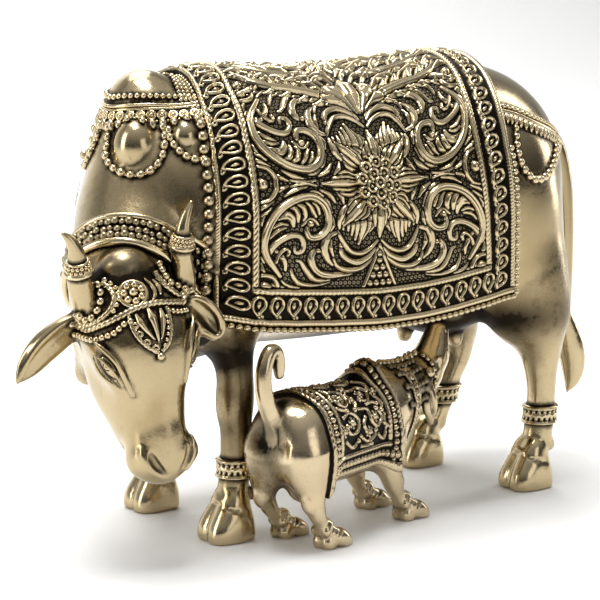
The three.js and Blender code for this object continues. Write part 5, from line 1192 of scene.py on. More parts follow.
def head_jewels(kit, F):
    on = lambda pts, lift, step=None, n=8: (lambda P: snap(F, head_to(resample(P, step) if step else P), lift))(catmull(pts, n))
    # rope headband, with a row of beads under it on the near half
    band = [(9.6, -19.0, -4.5), (10.5, -17.6, -0.8), (12.1, -15.4, 2.8), (11.5, -12.0, 7.3), (10.3, -7.1, 9.9), (9.1, -1.6, 10.8), (9.2, 3.9, 10.6), (10.3, 9.8, 8.7), (12.4, 16.5, 2.1), (13, 18, -3)]
    P, N = on(band, 0.5, 0.32)
    tube(kit, P, 1.15, 10, N=N, twist=1.7)
    row = [(12.2, -17.8, -5.5), (13.2, -16.8, -3.0), (14.4, -16.2, 1.3), (15.3, -15.0, 5.1), (15.1, -13.0, 7.4), (14.8, -10.7, 9.1), (14.0, -9.1, 10.0), (12.8, -7.0, 10.6), (12.5, -5.1, 11.2)]
    P, N = on(row, 0.5, 2.05)
    beads(kit, P, 1.08, N)
    P, N = on([(12.2, 7.3, 10.4), (13.0, 9.4, 9.7), (13.6, 11.9, 8.2), (13.8, 14.5, 5.6), (14.2, 17.0, 1.0), (14.2, 18.0, -3)], 0.4, 1.85)
    beads(kit, P, 0.88, N)
    # round the base of each horn: a rope and a band of large beads
    ropeL = [(6.9, -19.4, 0.4), (10.2, -17.0, 1.2), (10.6, -13.6, 4.9), (8.4, -9.8, 7.6), (5.0, -7.2, 7.9), (1.6, -7.2, 6.4), (-.6, -8.6, 4.4)]
    P, N = on(ropeL, 0.55, 0.32)
    tube(kit, P, 1.0, 10, N=N, twist=1.6)
    P, N = on([(8.0, -19.4, 3.2), (9.2, -15.6, 3.6), (7.6, -12.6, 5.2), (5.2, -10.8, 5.6), (2.4, -9.8, 5.0), (0, -10.2, 3.2)], 0.75, 3.0)
    beads(kit, P, 1.35, N)
    P, N = on([(8.6, -8.2, 8.2), (5.0, -5.6, 8.2), (1.4, -5.6, 6.6), (-1.2, -7.0, 4.6)], 0.5, 1.9)
    beads(kit, P, 0.9, N)
    ropeR = [(0.2, 7.6, 5.6), (3.0, 8.4, 6.6), (5.8, 10.0, 6.9), (8.8, 13.2, 5.8), (10.8, 17.3, 2.6), (11.4, 18.4, -1.5)]
    P, N = on(ropeR, 0.55, 0.32)
    tube(kit, P, 1.0, 10, N=N, twist=1.6)
    P, N = on([(-1.4, 10.2, 3.2), (0.9, 11.2, 5.6), (3.6, 12.9, 6.9), (6.2, 15.2, 6.6), (8.6, 17.8, 4.4)], 0.8, 2.5)
    beads(kit, P, 1.25, N)
    P, N = on([(0.5, 8.6, 6.2), (3.4, 10.4, 7.0), (6.4, 12.6, 6.8), (8.8, 15.6, 5.0), (9.8, 18.4, 2.0)], 0.5, 1.7)
    beads(kit, P, 0.75, N, sub=1)
    # medallion: a ring of seven round beads
    c, nc = snap(F, head_to([(4.6, -1.6, 9.6)]), 0.9)
    t = HEAD[0][:, 0] - nc[0] * (HEAD[0][:, 0] @ nc[0])
    t /= np.linalg.norm(t)
    b = np.cross(nc[0], t)
    a = 2 * np.pi * np.arange(7) / 7
    beads(kit, c + 2.75 * (np.cos(a)[:, None] * t + np.sin(a)[:, None] * b), 1.25, np.tile(nc, (7, 1)))
    beads(kit, c + nc * 0.5, 1.45, nc, np.array([t]))
    a = 2 * np.pi * np.arange(40) / 40
    tube(kit, c - nc * 0.7 + 4.1 * (np.cos(a)[:, None] * t + np.sin(a)[:, None] * b), 0.7, 8, closed=True, N=np.tile(nc, (40, 1)))
    for pts in ([(1.0, 3.6, 8.4), (3.4, 5.0, 8.8), (6.4, 5.0, 9.4), (8.4, 3.4, 10.2)], [(2.2, 6.2, 7.4), (4.6, 7.0, 7.8), (7.4, 6.6, 8.8)]):
        P, N = on(pts, 0.4, 0.5)
        tube(kit, P, np.interp(np.linspace(0, 1, len(P)), [0, .5, 1], [.35, .85, .35]), 8, N=N)
    # pendant on the forehead: three leaves inside an edge of curls and a rope, with a ball at the tip
    for pts, w in (([(11.0, -3.0, 11.2), (13.2, -2.6, 11.9), (16.0, -1.6, 12.4), (19.4, 0.2, 12.8)], 1.2), ([(10.0, 0.9, 11.2), (13.0, 1.2, 12.0), (16.5, 1.4, 12.6), (20.4, 1.3, 12.8)], 1.5), ([(11.2, 4.6, 11.0), (13.6, 4.4, 11.6), (16.4, 3.6, 12.2), (19.8, 2.3, 12.7)], 1.2)):
        P, N = on(pts, 0.75, 0.5)
        tube(kit, P, np.interp(np.linspace(0, 1, len(P)), [0, .3, 1], [.5, w, .3]), 8, N=N, wide=0.95)
    for s, q in ((-1, [(10.6, -5.0, 10.9), (14.0, -5.2, 11.6), (17.6, -4.4, 12.0), (21.0, -2.2, 12.3), (23.4, 0.6, 12.2)]), (1, [(11.0, 6.8, 10.6), (14.2, 7.0, 11.0), (18.0, 6.2, 11.6), (21.6, 4.2, 11.9), (23.4, 1.6, 12.1)])):
        P, N = on(q, 0.55, 0.3)
        tube(kit, P, 0.7, 8, N=N, twist=1.4)
    for cx, cy in ((14.2, -4.2), (17.0, -3.5), (19.8, -2.0), (22.0, 0.2)):
        c, nc = snap(F, head_to([(cx, cy, 12.2)]), 0.55)
        t = HEAD[0][:, 0] - nc[0] * (HEAD[0][:, 0] @ nc[0])
        t /= np.linalg.norm(t)
        b = np.cross(nc[0], t)
        a = np.linspace(0, 2.6 * math.pi, 22)
        rr = np.linspace(1.15, 0.25, 22)[:, None]
        tube(kit, c + rr * 1.15 * (np.cos(a)[:, None] * t - np.sin(a)[:, None] * b), 0.42, 6, N=np.tile(nc, (22, 1)))
    for q in ([(13.8, 6.0, 11.2), (16.6, 5.6, 11.6), (19.4, 4.5, 12.0), (21.8, 3.0, 12.1)],):
        P, N = on(q, 0.5, 1.7)
        beads(kit, P, 0.75, N, sub=1)
    c, nc = snap(F, head_to([(24.6, 1.0, 12.0)]), 0.7)
    beads(kit, c, 1.25, nc, np.array([HEAD[0][:, 0]]))
    # bead rings on the horns
    for A, B, wd in (((-5.6, 18.2, 6.7), (-8.6, 18.8, 8.2), 3.45), ((-5.9, -14.9, 5.3), (-9.2, -15.1, 7.1), 3.95)):
        A, B = head_to([A])[0], head_to([B])[0]
        ax = (B - A) / np.linalg.norm(B - A)
        u = np.cross(ax, [1, 0, 0])
        u /= np.linalg.norm(u)
        w = np.cross(ax, u)
        for t0, R, r, n in ((-0.3, wd, 0.95, 0), (0.95, wd * .98, 0.7, 16), (2.15, wd * .93, 0.7, 16), (3.2, wd * .84, 0.4, 0)):
            a = 2 * np.pi * (np.arange(n or 40) / (n or 40) + 0.02 * t0)
            D = np.cos(a)[:, None] * u + np.sin(a)[:, None] * w
            P = A + ax * t0 + D * R * 0.95
            if n:
                beads(kit, P, r, D, tangents(P, True), sub=2)
            else:
                tube(kit, P, r, 10, closed=True, N=D)
        # a sleeve under the rings, coloured dark: patina and painted shade between the beads
        a = 2 * np.pi * np.arange(40) / 40
        D = np.cos(a)[:, None] * u + np.sin(a)[:, None] * w
        V = np.concatenate([A + ax * t + D * R for t, R in ((-.5, wd - .9), (0.0, wd - .35), (2.6, wd - .6), (3.4, wd - 1.4))])
        i, j = np.meshgrid(np.arange(3), np.arange(40), indexing='ij')
        Q = np.stack([i * 40 + j, i * 40 + (j + 1) % 40, (i + 1) * 40 + (j + 1) % 40, (i + 1) * 40 + j], -1).reshape(-1, 4)
        kit.add(V, Q, None, 0.9)


def anklet(kit, x, y, z, R=6.3, Hh=6.2, lean=(0, 0)):
    """A band with two rows of small dimples between rolled rims."""
    n, m = 96, 26
    th = 2 * np.pi * np.arange(n) / n
    zz = np.linspace(-Hh / 2, Hh / 2, m)
    T, Z = np.meshgrid(th, zz, indexing='ij')
    s = T * R
    prof = R - 0.75 + 0.75 * (np.exp(-((np.abs(Z) - Hh / 2 + 0.55) / 0.5) ** 2))
    h = np.zeros_like(T)
    pitch = 2 * math.pi * R / 18
    for row, off in ((1.15, 0.0), (-1.15, 0.5)):
        ds = (s / pitch + off) - np.round(s / pitch + off)
        h -= 0.75 * np.exp(-(((ds * pitch) / 0.62) ** 2 + ((Z - row) / 0.62) ** 2))
    rad = prof + 0.35 * (np.abs(Z) < Hh / 2 - 1.1) + h
    V = np.stack([x + rad * np.cos(T) + lean[0] * Z, y + rad * np.sin(T) + lean[1] * Z, z + Z], -1)
    top = V[:, -1].copy(); top[:, 0] = x + (top[:, 0] - x) * 0.78; top[:, 1] = y + (top[:, 1] - y) * 0.78
    bot = V[:, 0].copy(); bot[:, 0] = x + (bot[:, 0] - x) * 0.78; bot[:, 1] = y + (bot[:, 1] - y) * 0.78
    V = np.concatenate([bot[:, None], V, top[:, None]], 1)
    patina_and_shade = np.clip(-h * 1.4 + 0.5 * np.exp(-((np.abs(Z) - Hh / 2 + 1.35) / 0.25) ** 2), 0, 1)
    patina_and_shade = np.concatenate([np.full((n, 1), .8), patina_and_shade, np.full((n, 1), .8)], 1)
    m += 2
    i, j = np.meshgrid(np.arange(n), np.arange(m - 1), indexing='ij')
    i2 = (i + 1) % n
    Q = np.stack([i * m + j, i2 * m + j, i2 * m + j + 1, i * m + j + 1], -1).reshape(-1, 4)
    kit.add(V.reshape(-1, 3), Q, None, patina_and_shade.ravel())


# ------------------------------------------------------------------ the calf
CBODY = [(-19, 37, 2, 3, 3, 2, 2), (-17.5, 36.5, 7, 7.5, 10, 2, 2), (-14, 36, 10.5, 11, 14, 2, 2), (-8, 35.5, 12.8, 13, 16.5, 2, 2), (0, 35, 13.3, 13.5, 17.5, 2, 2), (10, 34.5, 13, 12.7, 17.5, 2, 2),
         (20, 34.5, 12.8, 12.6, 17.5, 2, 2), (30, 35, 12.3, 14, 17, 2, 2), (38, 35.5, 10.8, 13, 16, 2, 2), (44, 36, 8, 10.5, 13, 2, 2), (47, 36, 3, 5, 6, 2, 2)]


def calf_field(F):
    M = CALF
    A = lambda kind, k, *a, cut=False: F.add(kind, k, *a, M=M, cut=cut)
    A('loft', 0.1, CBODY)
    A('ell', 3.5, (29.5, 0, 47), (6.5, 5, 5.4))
    A('tube', 5, [(38, 0, 38.5, 10.6), (46, 0, 40.3, 9), (53, 0, 42, 7.8), (60, 0, 44, 6.6)])
    A('tube', 3, [(60, 0, 43.5, 6.2), (64.5, 0, 48, 5.7), (67.3, 0, 52.5, 4.8), (69, 0, 56.5, 3.8)])
    A('ell', 3, (66.5, 0, 48), (5, 4.6, 5))
    A('tube', 3, [(54, 0, 35, 3.5), (49, 0, 27, 4), (44, 0, 22, 4)], (0, 1, 0, 0.5))
    for s in (-1, 1):
        A('ell', 4, (-9, s * 7, 32), (10, 6.5, 13), (0, 10, 0))
    A('tube', 4, [(-10, -7, 30, 8), (-9.8, -9, 22, 5.2), (-10.0, -9.6, 16.5, 3.6), (-8.8, -9.8, 12.4, 2.9), (-6.6, -9.6, 9.0, 2.4), (-5.0, -9.4, 6.4, 2.6)])
    A('tube', 4, [(-11, 7, 30, 8), (-11.0, 9, 21, 4.9), (-10.8, 9.2, 15.5, 3.4), (-9.0, 9.2, 11.6, 2.8), (-6.2, 9.1, 8.2, 2.3), (-4.2, 9, 6.2, 2.5)])
    A('tube', 4, [(30, -6, 28, 8), (30.8, -8.5, 19, 4.5), (32.6, -9, 13, 3.2), (35.0, -9, 9.0, 2.4), (37.0, -9, 6.4, 2.5)])
    A('tube', 4, [(31, 6, 28, 8), (33, 8.5, 18, 4.4), (35.8, 9, 12.2, 3.0), (38.0, 9, 8.6, 2.3), (40.2, 9, 6.2, 2.5)])
    for x, y, z in ((-12.8, -9.6, 16.0), (-13.4, 9.2, 15.2)):
        A('ell', 1.4, (x, y, z), (2.0, 2.4, 3.6), (0, -18, 0))
    for x, y, z in ((33.8, -9, 14.2), (37.0, 9, 13.0)):
        A('ell', 1.5, (x, y, z), (1.9, 2.9, 2.8))
    for x, y in ((-1.6, -9.3), (-.4, 9), (40.6, -9), (43.8, 9)):
        # fetlock with its two dewclaws, then two flat-soled toes under a coronet
        A('ell', 1.0, (x - 2.8, y, 7.4), (2.9, 3.1, 2.6))
        for q in (-1, 1):
            A('ell', 0.5, (x - 4.4, y + q * 2.4, 6.2), (1.3, 1.2, 1.8), (0, 24, 0))
            A('ell', 1.4, (x - 2.2, y + q * 1.7, 2.0), (2.9, 2.3, 3.2))
            A('tube', 1.0, [(x - 1.0, y + q * 1.7, 4.6, 2.5), (x + 1.8, y + q * 2.0, 3.0, 3.2), (x + 4.2, y + q * 1.9, 1.2, 3.2), (x + 5.6, y + q * 1.6, 0.2, 2.6)])
        A('tube', 0.5, [(x + .2, y, 8.4, .3), (x + 2.4, y, 7.0, .6), (x + 5.0, y, 4.8, .75), (x + 7.6, y, 1.0, .9)], cut=True)
        for q in (-1, 1):
            A('tube', 0.4, [(x + 2.2, y + q * 1.2, 7.2, .4), (x + 1.2, y + q * 3.6, 6.0, .55), (x - 1.2, y + q * 4.9, 4.0, .55), (x - 3.4, y + q * 4.6, 2.4, .4)], cut=True)
    for s in (-1, 1):
        A('ell', 0.8, (-11.6, s * 10.6, 15.0), (1.2, 1.0, 1.6))
        A('tube', 1, [(55, s * 5.5, 45, 1.8), (52.5, s * 8, 41, 2.3), (52.5, s * 9, 35.5, 2.9), (54, s * 8.5, 29.5, 1.2)], (0.4, 0.9, 0, 0.5))
        A('tube', 0.6, [(52.2, s * 9.6, 40, .3), (52.2, s * 10.4, 35.5, .9), (53.8, s * 9.6, 31, .3)], cut=True)
        A('ell', 0.5, (61.5, s * 5.6, 48.0), (1.8, 1.2, 1.3), (0, -45, 0))
        A('tube', 0.4, [(59.8, s * 5.9, 48.4, .3), (61.0, s * 6.4, 49.6, .5), (63.0, s * 6.0, 49.4, .3)])
        A('tube', 0.4, [(68.6, s * 3.6, 56.5, .3), (67.6, s * 4.6, 53.0, .4), (67.8, s * 4.6, 50.0, .3)], cut=True)
        # folds of the groin
        A('tube', 1.4, [(-18.4, s * 3.2, 33, .5), (-17.4, s * 3.4, 28, .8), (-15.6, s * 4.0, 23, .5)])
    A('tube', 2.0, [(-9, 0, 23, 3.0), (-7, 0, 17.5, 2.4), (-4.6, 0, 14.2, 1.0)])
    A('tube', 2.5, [(-15, 0, 40, 4.2), (-19.5, 0, 45, 3.2), (-22.6, 0, 52, 2.7), (-22.6, 0, 59, 2.5), (-19.8, 0, 64.0, 2.4), (-16.6, 0, 63.4, 2.2), (-15.4, 0, 59.6, 2.1), (-15.2, 0, 56.4, 1.6)])


def calf_cloth_points(F, lx, v, side, lift):
    """Places on the calf's back: lx along it, v the way down from the spine; found by rays from its middle."""
    n = len(lx)
    # angle that gives the wanted way down, for a section close to round
    th = v / 13.2
    c = calf_to(np.stack([lx, np.zeros(n), np.full(n, 35.0)], 1))
    d = (np.stack([np.zeros(n), side * np.sin(th), np.cos(th)], 1)) @ CALF[0].T
    low = np.clip((v - 22) / 20, 0, 1)[:, None]
    r = np.full(n, 18.0)
    for _ in range(40):
        r = r - np.clip(F.sample(c + d * r[:, None]), -1, 1) * 0.8
    P = c + d * r[:, None]
    return P


def calf_cloth(F, name, side, mat, step):
    """The calf's saddle cloth: wire scrolls and ball flowers on a dark ground, inside ropes and bead rows."""
    S = Sheet(-21, 21, 0, 33.5)
    W = 16.2
    for m in (-1, 1):
        pass
    rs = np.random.default_rng(3)
    ST = S.stroke
    wires = [[(-8, 5), (-4.5, 6), (-4, 9.5), (-7, 11.5), (-9.8, 9.6), (-9.2, 7.4)], [(-1.5, 3.5), (2, 6), (6, 5.4), (8.4, 8.2), (6, 11.2), (2.6, 10.4)], [(-10.4, 14.6), (-6.4, 13.6), (-3.2, 16), (-4.6, 19.6), (-8.4, 19.8), (-9.4, 17.4)],
             [(-.6, 13.2), (3.4, 14), (3.8, 17.6), (6.2, 19.8), (9.6, 17.6), (8.2, 14.4)], [(-2.6, 21.4), (.8, 23.6), (4.8, 22.6), (5.4, 20.8)], [(-10.6, 22.0), (-7.2, 24.2), (-4, 22.6)], [(9.2, 1.6), (11, 5.2), (9.8, 7.2)], [(-10.2, .8), (-6.6, 2.2), (-3.4, 1)],
             [(-2.2, 7.2), (-.6, 11), (-2.6, 13.2)], [(10.2, 10.4), (11.6, 13.2), (10.6, 15.4)], [(1.2, .4), (4.6, 2.4), (7.4, .8)], [(7.2, 22.6), (9.8, 24.4), (11.6, 21)], [(-11.4, 3.6), (-10.4, 6.0), (-11.8, 8.4)], [(-11.6, 11.4), (-9.4, 12.4), (-7.2, 12.8)],
             [(1.2, 16.2), (-.6, 18.4), (.8, 20.4)], [(4.6, 12.4), (7.2, 12.2), (9.4, 13.0)], [(-1.8, 24.8), (1.4, 25.0), (3.4, 24.8)], [(11.4, 16.8), (10.4, 19.4), (12, 20.6)]]
    for w in wires:
        ST(w, (.45, .56, .45), 1.25, moat=.1, n=8)
        S.dome(w[-1], .85, 1.3, moat=.1)
        S.dome(w[0], .6, 1.1, moat=.1)
    for c in ((-6.9, 8.4), (4.6, 8.3), (-6.4, 16.8), (6.2, 16.8), (-.4, 4.6), (-11.6, 18.6), (2.2, 20.9), (11.2, 8.4), (-1.6, 9.6)):
        S.dome(c, 1.0, 1.5, moat=.1)
        for k in range(6):
            a = k * math.pi / 3 + .4
            S.dome((c[0] + 1.5 * math.cos(a), c[1] + 1.5 * math.sin(a)), .5, .9, moat=0)
    # ropes and bead rows at both ends and along the hem
    for m in (-1, 1):
        S.rope('b', m * 19.3, -.2, 33.4, 1.05, 1.7, 1.35, 0.1, 0.9)
        S.rope('b', m * 13.9, -.2, 26.8, .8, 1.5, 1.15, 0.1, 0.9)
        for k in range(17):
            S.dome((m * 16.6, 0.8 + k * 1.95), 1.02, 1.35)
    S.rope('a', 26.6, -14.6, 14.6, .8, 1.5, 1.15, 0.1, 0.9)
    S.rope('a', 32.0, -19.9, 19.9, 1.05, 1.7, 1.35, 0.1, 0.9)
    for k in range(19):
        S.dome(((k - 9) * 1.95, 29.3), 1.02, 1.35)
    S.H = blur(S.H, 0.09)
    patina_and_shade = cavity(S.H)
    a, b = np.linspace(-20.4, 20.4, round(40.8 / step) + 1), np.linspace(0, 33, round(33 / step) + 1)
    A, B = np.meshgrid(np.concatenate([a[:1], a, a[-1:]]), np.concatenate([b[:1], b, b[-1:]]), indexing='ij')
    h, c = pick(S, S.H, A, B), pick(S, patina_and_shade, A, B)
    drop = np.zeros_like(h)
    drop[0], drop[-1], drop[:, -1] = 4.2, 3.0, 3.0
    lx = 11.0 + A * 0.97 * (1 + 0.0 * B)
    P = calf_cloth_points(F, lx.ravel(), B.ravel(), side, 0)
    sh = A.shape
    # smooth the base a little, then take normals from it
    G = P.reshape(sh + (3,))
    for _ in range(6):
        K = G.copy()
        K[1:-1] = (G[:-2] + G[1:-1] + G[2:]) / 3
        G = K.copy()
        G[:, 1:-1] = (K[:, :-2] + K[:, 1:-1] + K[:, 2:]) / 3
    du, dv = np.gradient(G, axis=0), np.gradient(G, axis=1)
    du[0], du[-1], dv[:, 0], dv[:, -1] = du[1], du[-2], dv[:, 1], dv[:, -2]
    du[1], du[-2], dv[:, 1], dv[:, -2] = du[2], du[-3], dv[:, 2], dv[:, -3]
    N = np.cross(dv, du) * (1 if side < 0 else -1)
    N /= np.linalg.norm(N, axis=2, keepdims=True) + 1e-9
    P = G + N * (0.55 + h - drop)[..., None]
    n, m = sh
    i, j = np.meshgrid(np.arange(n - 1), np.arange(m - 1), indexing='ij')
    Q = np.stack([i * m + j, i * m + j + 1, (i + 1) * m + j + 1, (i + 1) * m + j], -1).reshape(-1, 4)
    if side > 0:
        Q = Q[:, ::-1]
    return make(name, P.reshape(-1, 3), Q, None, np.where(drop > 0, .3, c).ravel(), mat, "calf")


def calf_jewels(kit, F):
    on = lambda pts, lift, step=None, n=8: (lambda P: snap(F, calf_to(resample(P, step) if step else P), lift))(catmull(pts, n))
    for off in (0.0,):
        P, N = on([(36.5, 0, 50), (41, 0, 51), (46, 0, 51), (51, 0, 51.6), (56, 0, 51.6)], 0.5, 2.5)
        beads(kit, P, 1.4, N)
    for s in (-1, 1):
        for q, z in ((3.4, 50), (6.4, 47.5), (8.6, 43.5), (9.8, 38.5)):
            P, N = on([(38.0, s * q, z), (42, s * q, z - .4), (46.5, s * q * .95, z - .4), (51, s * q * .85, z)], 0.35, 2.3)
            beads(kit, P, 0.95 + .2 * ((np.arange(len(P)) * 5) % 3 == 0), N, least=0.5, dark=1.2)
        for k, x in enumerate((40.5, 44.8)):
            P, N = on([(x, s * 4, 48), (x + .6, s * 9.5, 42), (x + 1.4, s * 10.6, 34), (x + 1.0, s * 7, 26)], 0.45, 0.35)
            tube(kit, P, 0.7, 8, N=N, twist=1.3)
        P, N = on([(42.6, s * 5, 47), (43.3, s * 9.6, 41), (44, s * 10, 34), (43.4, s * 7, 27)], 0.6, 2.6)
        beads(kit, P, 1.25, N, None, (1, 1, .6))
        tube_ring(kit, P, N, tangents(P, False), 1.0, .3, 10, 5)
        c, n = on([(54.5, s * 6.2, 45.2), (55, s * 6.4, 45.0)], 0.5)
        beads(kit, c[:1], 1.9, n[:1], None, (1, 1, .8))
        P, N = on([(57, s * 3, 50.5), (57.5, s * 5.8, 47), (57, s * 6.4, 42), (55.5, s * 5, 37)], 0.4, 1.9)
        beads(kit, P, 0.9, N)


# ------------------------------------------------------------------ building
body = Field([axis((-112, -66, 1.1), (-66, -46, 0.8), (-46, 46, 1.3), (46, 78, 0.8), (78, 104, 1.0)),
              axis((-50, -32, 1.2), (-32, -13, 0.85), (-13, 13, 1.3), (13, 32, 0.85), (32, 50, 1.2)),
              axis((-1.5, 20, 0.75), (20, 60, 0.95), (60, 152, 1.2))])
body_field(body)
sl, X, Y, Z = body.box((-200, -200, -9), (200, 200, 3))
body.F[sl] = np.maximum(body.F[sl], -Z)

head = Field([axis((-132, -60, 0.56)), axis((-72, 12, 0.56)), axis((14, 122, 0.56))])
head.add('loft', 0.1, TRUNK)
neck(head)
head_field(head)
sl, X, Y, Z = head.box((-200, -200, 0), (200, 200, 200))
head.F[sl] = np.maximum(np.maximum(head.F[sl], -collar_side(X, Y, Z) - 0.6), X + 69.5)
head_parts(head)

# the neck's blend with the head belongs to both
blend = Field(body.ax)
blend.F = body.F.copy()
for kind, k, *a in (('ell', 6, (13, 0, -5), (18, 16.5, 15)), ('tube', 7, [(18, 0, -17, 12.5), (29, -.5, -16, 13), (40, -1, -13, 10.5), (51, -1, -11, 7.2)]), ('ell', 3, (-3, 0, 2), (6, 7.5, 6.5))):
    blend.add(kind, k, *a, M=HEAD)

cut = Field(body.ax)
cut.F = blend.F.copy()
sl, X, Y, Z = cut.box((-140, -80, 30), (-66, 20, 130))
d = collar_side(X, Y, Z)
cut.F[sl] = np.where((X < -68), np.maximum(cut.F[sl], d - 0.6), cut.F[sl])
cloth_core(cut)
BV, BQ, BN = cut.nets()
solid_body = cut
c = ao(blend, BV, BN)

ornament = Kit()
belt(ornament, body, None)
crupper(ornament, body)
jewel = Kit()
collar(jewel, blend, body)
head_jewels(jewel, head)
for x, y, z, lean in ((-54.7, -STANCE, 23.3, (0.02, 0)), (-54.7, STANCE, 23.3, (0.02, 0)), (67.1, -STANCE, 25, (0.06, 0)), (59.4, STANCE, 24.5, (0.3, 0))):
    anklet(ornament, x, y, z, lean=lean)

# edge beads of the cloth
near = Kit()
for s in (1, -1):
    v = np.arange(27, 90, 3.72)
    x = np.interp(v, W_V, W_RIM) - 2.9
    P, N = on_cloth(x, v, np.full(len(v), 1.6))
    P, N = (P, N) if s > 0 else (mirror(P), mirror(N))
    P, N = snap(blend, P, 0.75)
    beads(near, P, 1.68, N, None, (1.0, 1.0, 0.85), sub=2 if s > 0 else 1, dark=1.1, least=0.32)
    # clusters of small grains, higher up, where cloth and hump meet
    for k in range(15):
        vv = 2.5 + k * 1.68
        for q in range(4 if vv < 16 else 2):
            w = np.array([vv + 0.8 * (q % 2)])
            P, N = on_cloth(np.interp(w, W_V, W_RIM) - 1.7 - 1.5 * q, w, np.full(1, 1.9))
            P, N = (P, N) if s > 0 else (mirror(P), mirror(N))
            P, N = snap(blend, P, 0.5)
            beads(near, P, 0.84 + 0.16 * ((k * 7 + q * 3) % 4) / 3, N, np.array([[0.6, 0, 0.8]]), size=(1.1, .9, .9), sub=1, dark=1.1, least=.25)
    a = np.arange(-54.0, 54.6, 2.25)
    x, v = plan_to_cloth(a, np.full(len(a), 101.9))
    P, N = on_cloth(x, v, np.full(len(a), GROUND + 0.45))
    P, N = (P, N) if s > 0 else (mirror(P), mirror(N))
    beads(near, P, 1.05, N, None, (1.15, 0.9, 1), sub=2 if s > 0 else 1)
    b = np.arange(52, 101, 2.7)
    x, v = plan_to_cloth(np.full(len(b), PLAN_OUT + 2.1), b)
    P, N = on_cloth(x, v, np.full(len(b), GROUND + 0.1))
    P, N = (P, N) if s > 0 else (mirror(P), mirror(N))
    beads(near, P, 1.15, N, sub=2 if s > 0 else 1)

# painted shade round whatever is set on the body, with patina in the joins
def contact_shade(V, c, kit, reach, amount=0.9):
    W = kit.arrays()[0]
    W = W[::3]
    kd = KDTree(len(W))
    for i, p in enumerate(W):
        kd.insert(p, i)
    kd.balance()
    lo, hi = W.min(0) - reach, W.max(0) + reach
    m = np.where(((V > lo) & (V < hi)).all(1))[0]
    for i in m:
        d = kd.find(V[i])[2]
        if d < reach:
            c[i] = max(c[i], amount * (1 - d / reach) ** 0.7)
    return c


def shade_and_patina_spots(V, c, spots):
    """Painted shade and dark reflection in soft spots, partly old patina that polishing didn't reach: places, radii and
    strength.
    """
    for p, r, k in spots:
        c = c + k * np.exp(-(((V - np.array(p)) / np.array(r)) ** 2).sum(1))
    return np.clip(c, 0, 1)


# painted shade and dark reflection: under the chest, belly, udder and the cloth's hem, down the legs, round the neck
# and dewlap, and over haunch and rump
c = shade_and_patina_spots(BV, c, [((-55, -20, 40), (9, 12, 22), 0.42), ((-55, -12, 62), (14, 10, 8), 0.4), ((0, -10, 58), (70, 30, 5), 0.75), ((0, -34, 63), (64, 10, 6), 0.5), ((-88, -10, 92), (10, 14, 16), 0.25),
                  ((-55, 22, 40), (8, 8, 26), 0.35), ((62, 22, 50), (8, 8, 14), 0.35), ((66, -16, 30), (3, 5, 20), 0.3), ((-82, -6, 60), (14, 8, 8), 0.3), ((38, -4, 58), (14, 16, 9), 0.3), ((60, -32, 96), (22, 14, 30), 0.2), ((84, -8, 104), (16, 18, 26), 0.14)])
c = contact_shade(BV, c, ornament, 2.2)
c = contact_shade(BV, c, near, 2.4)
# painted shade and dark reflection pull the colour to the deep brass on haunch, rump, neck, near foreleg and the flank
# under the cloth
painted_shade = shade_and_patina_spots(BV, np.zeros(len(BV)), [((62, -32, 92), (26, 18, 38), 1.1), ((84, -10, 106), (20, 22, 30), 1.0), ((-86, -16, 108), (18, 18, 24), 0.6), ((-74, -32, 104), (10, 10, 22), 0.5), ((-55, -24, 40), (9, 9, 36), 1.0), ((0, -30, 60), (70, 20, 8), 0.6)])
make('cow_body', BV, BQ, None, c, MAT_BODY, "cow", BN, {'painted_shade': painted_shade})

V, Q, N = head.nets()
c = contact_shade(V, ao(head, V, N), jewel, 1.9)
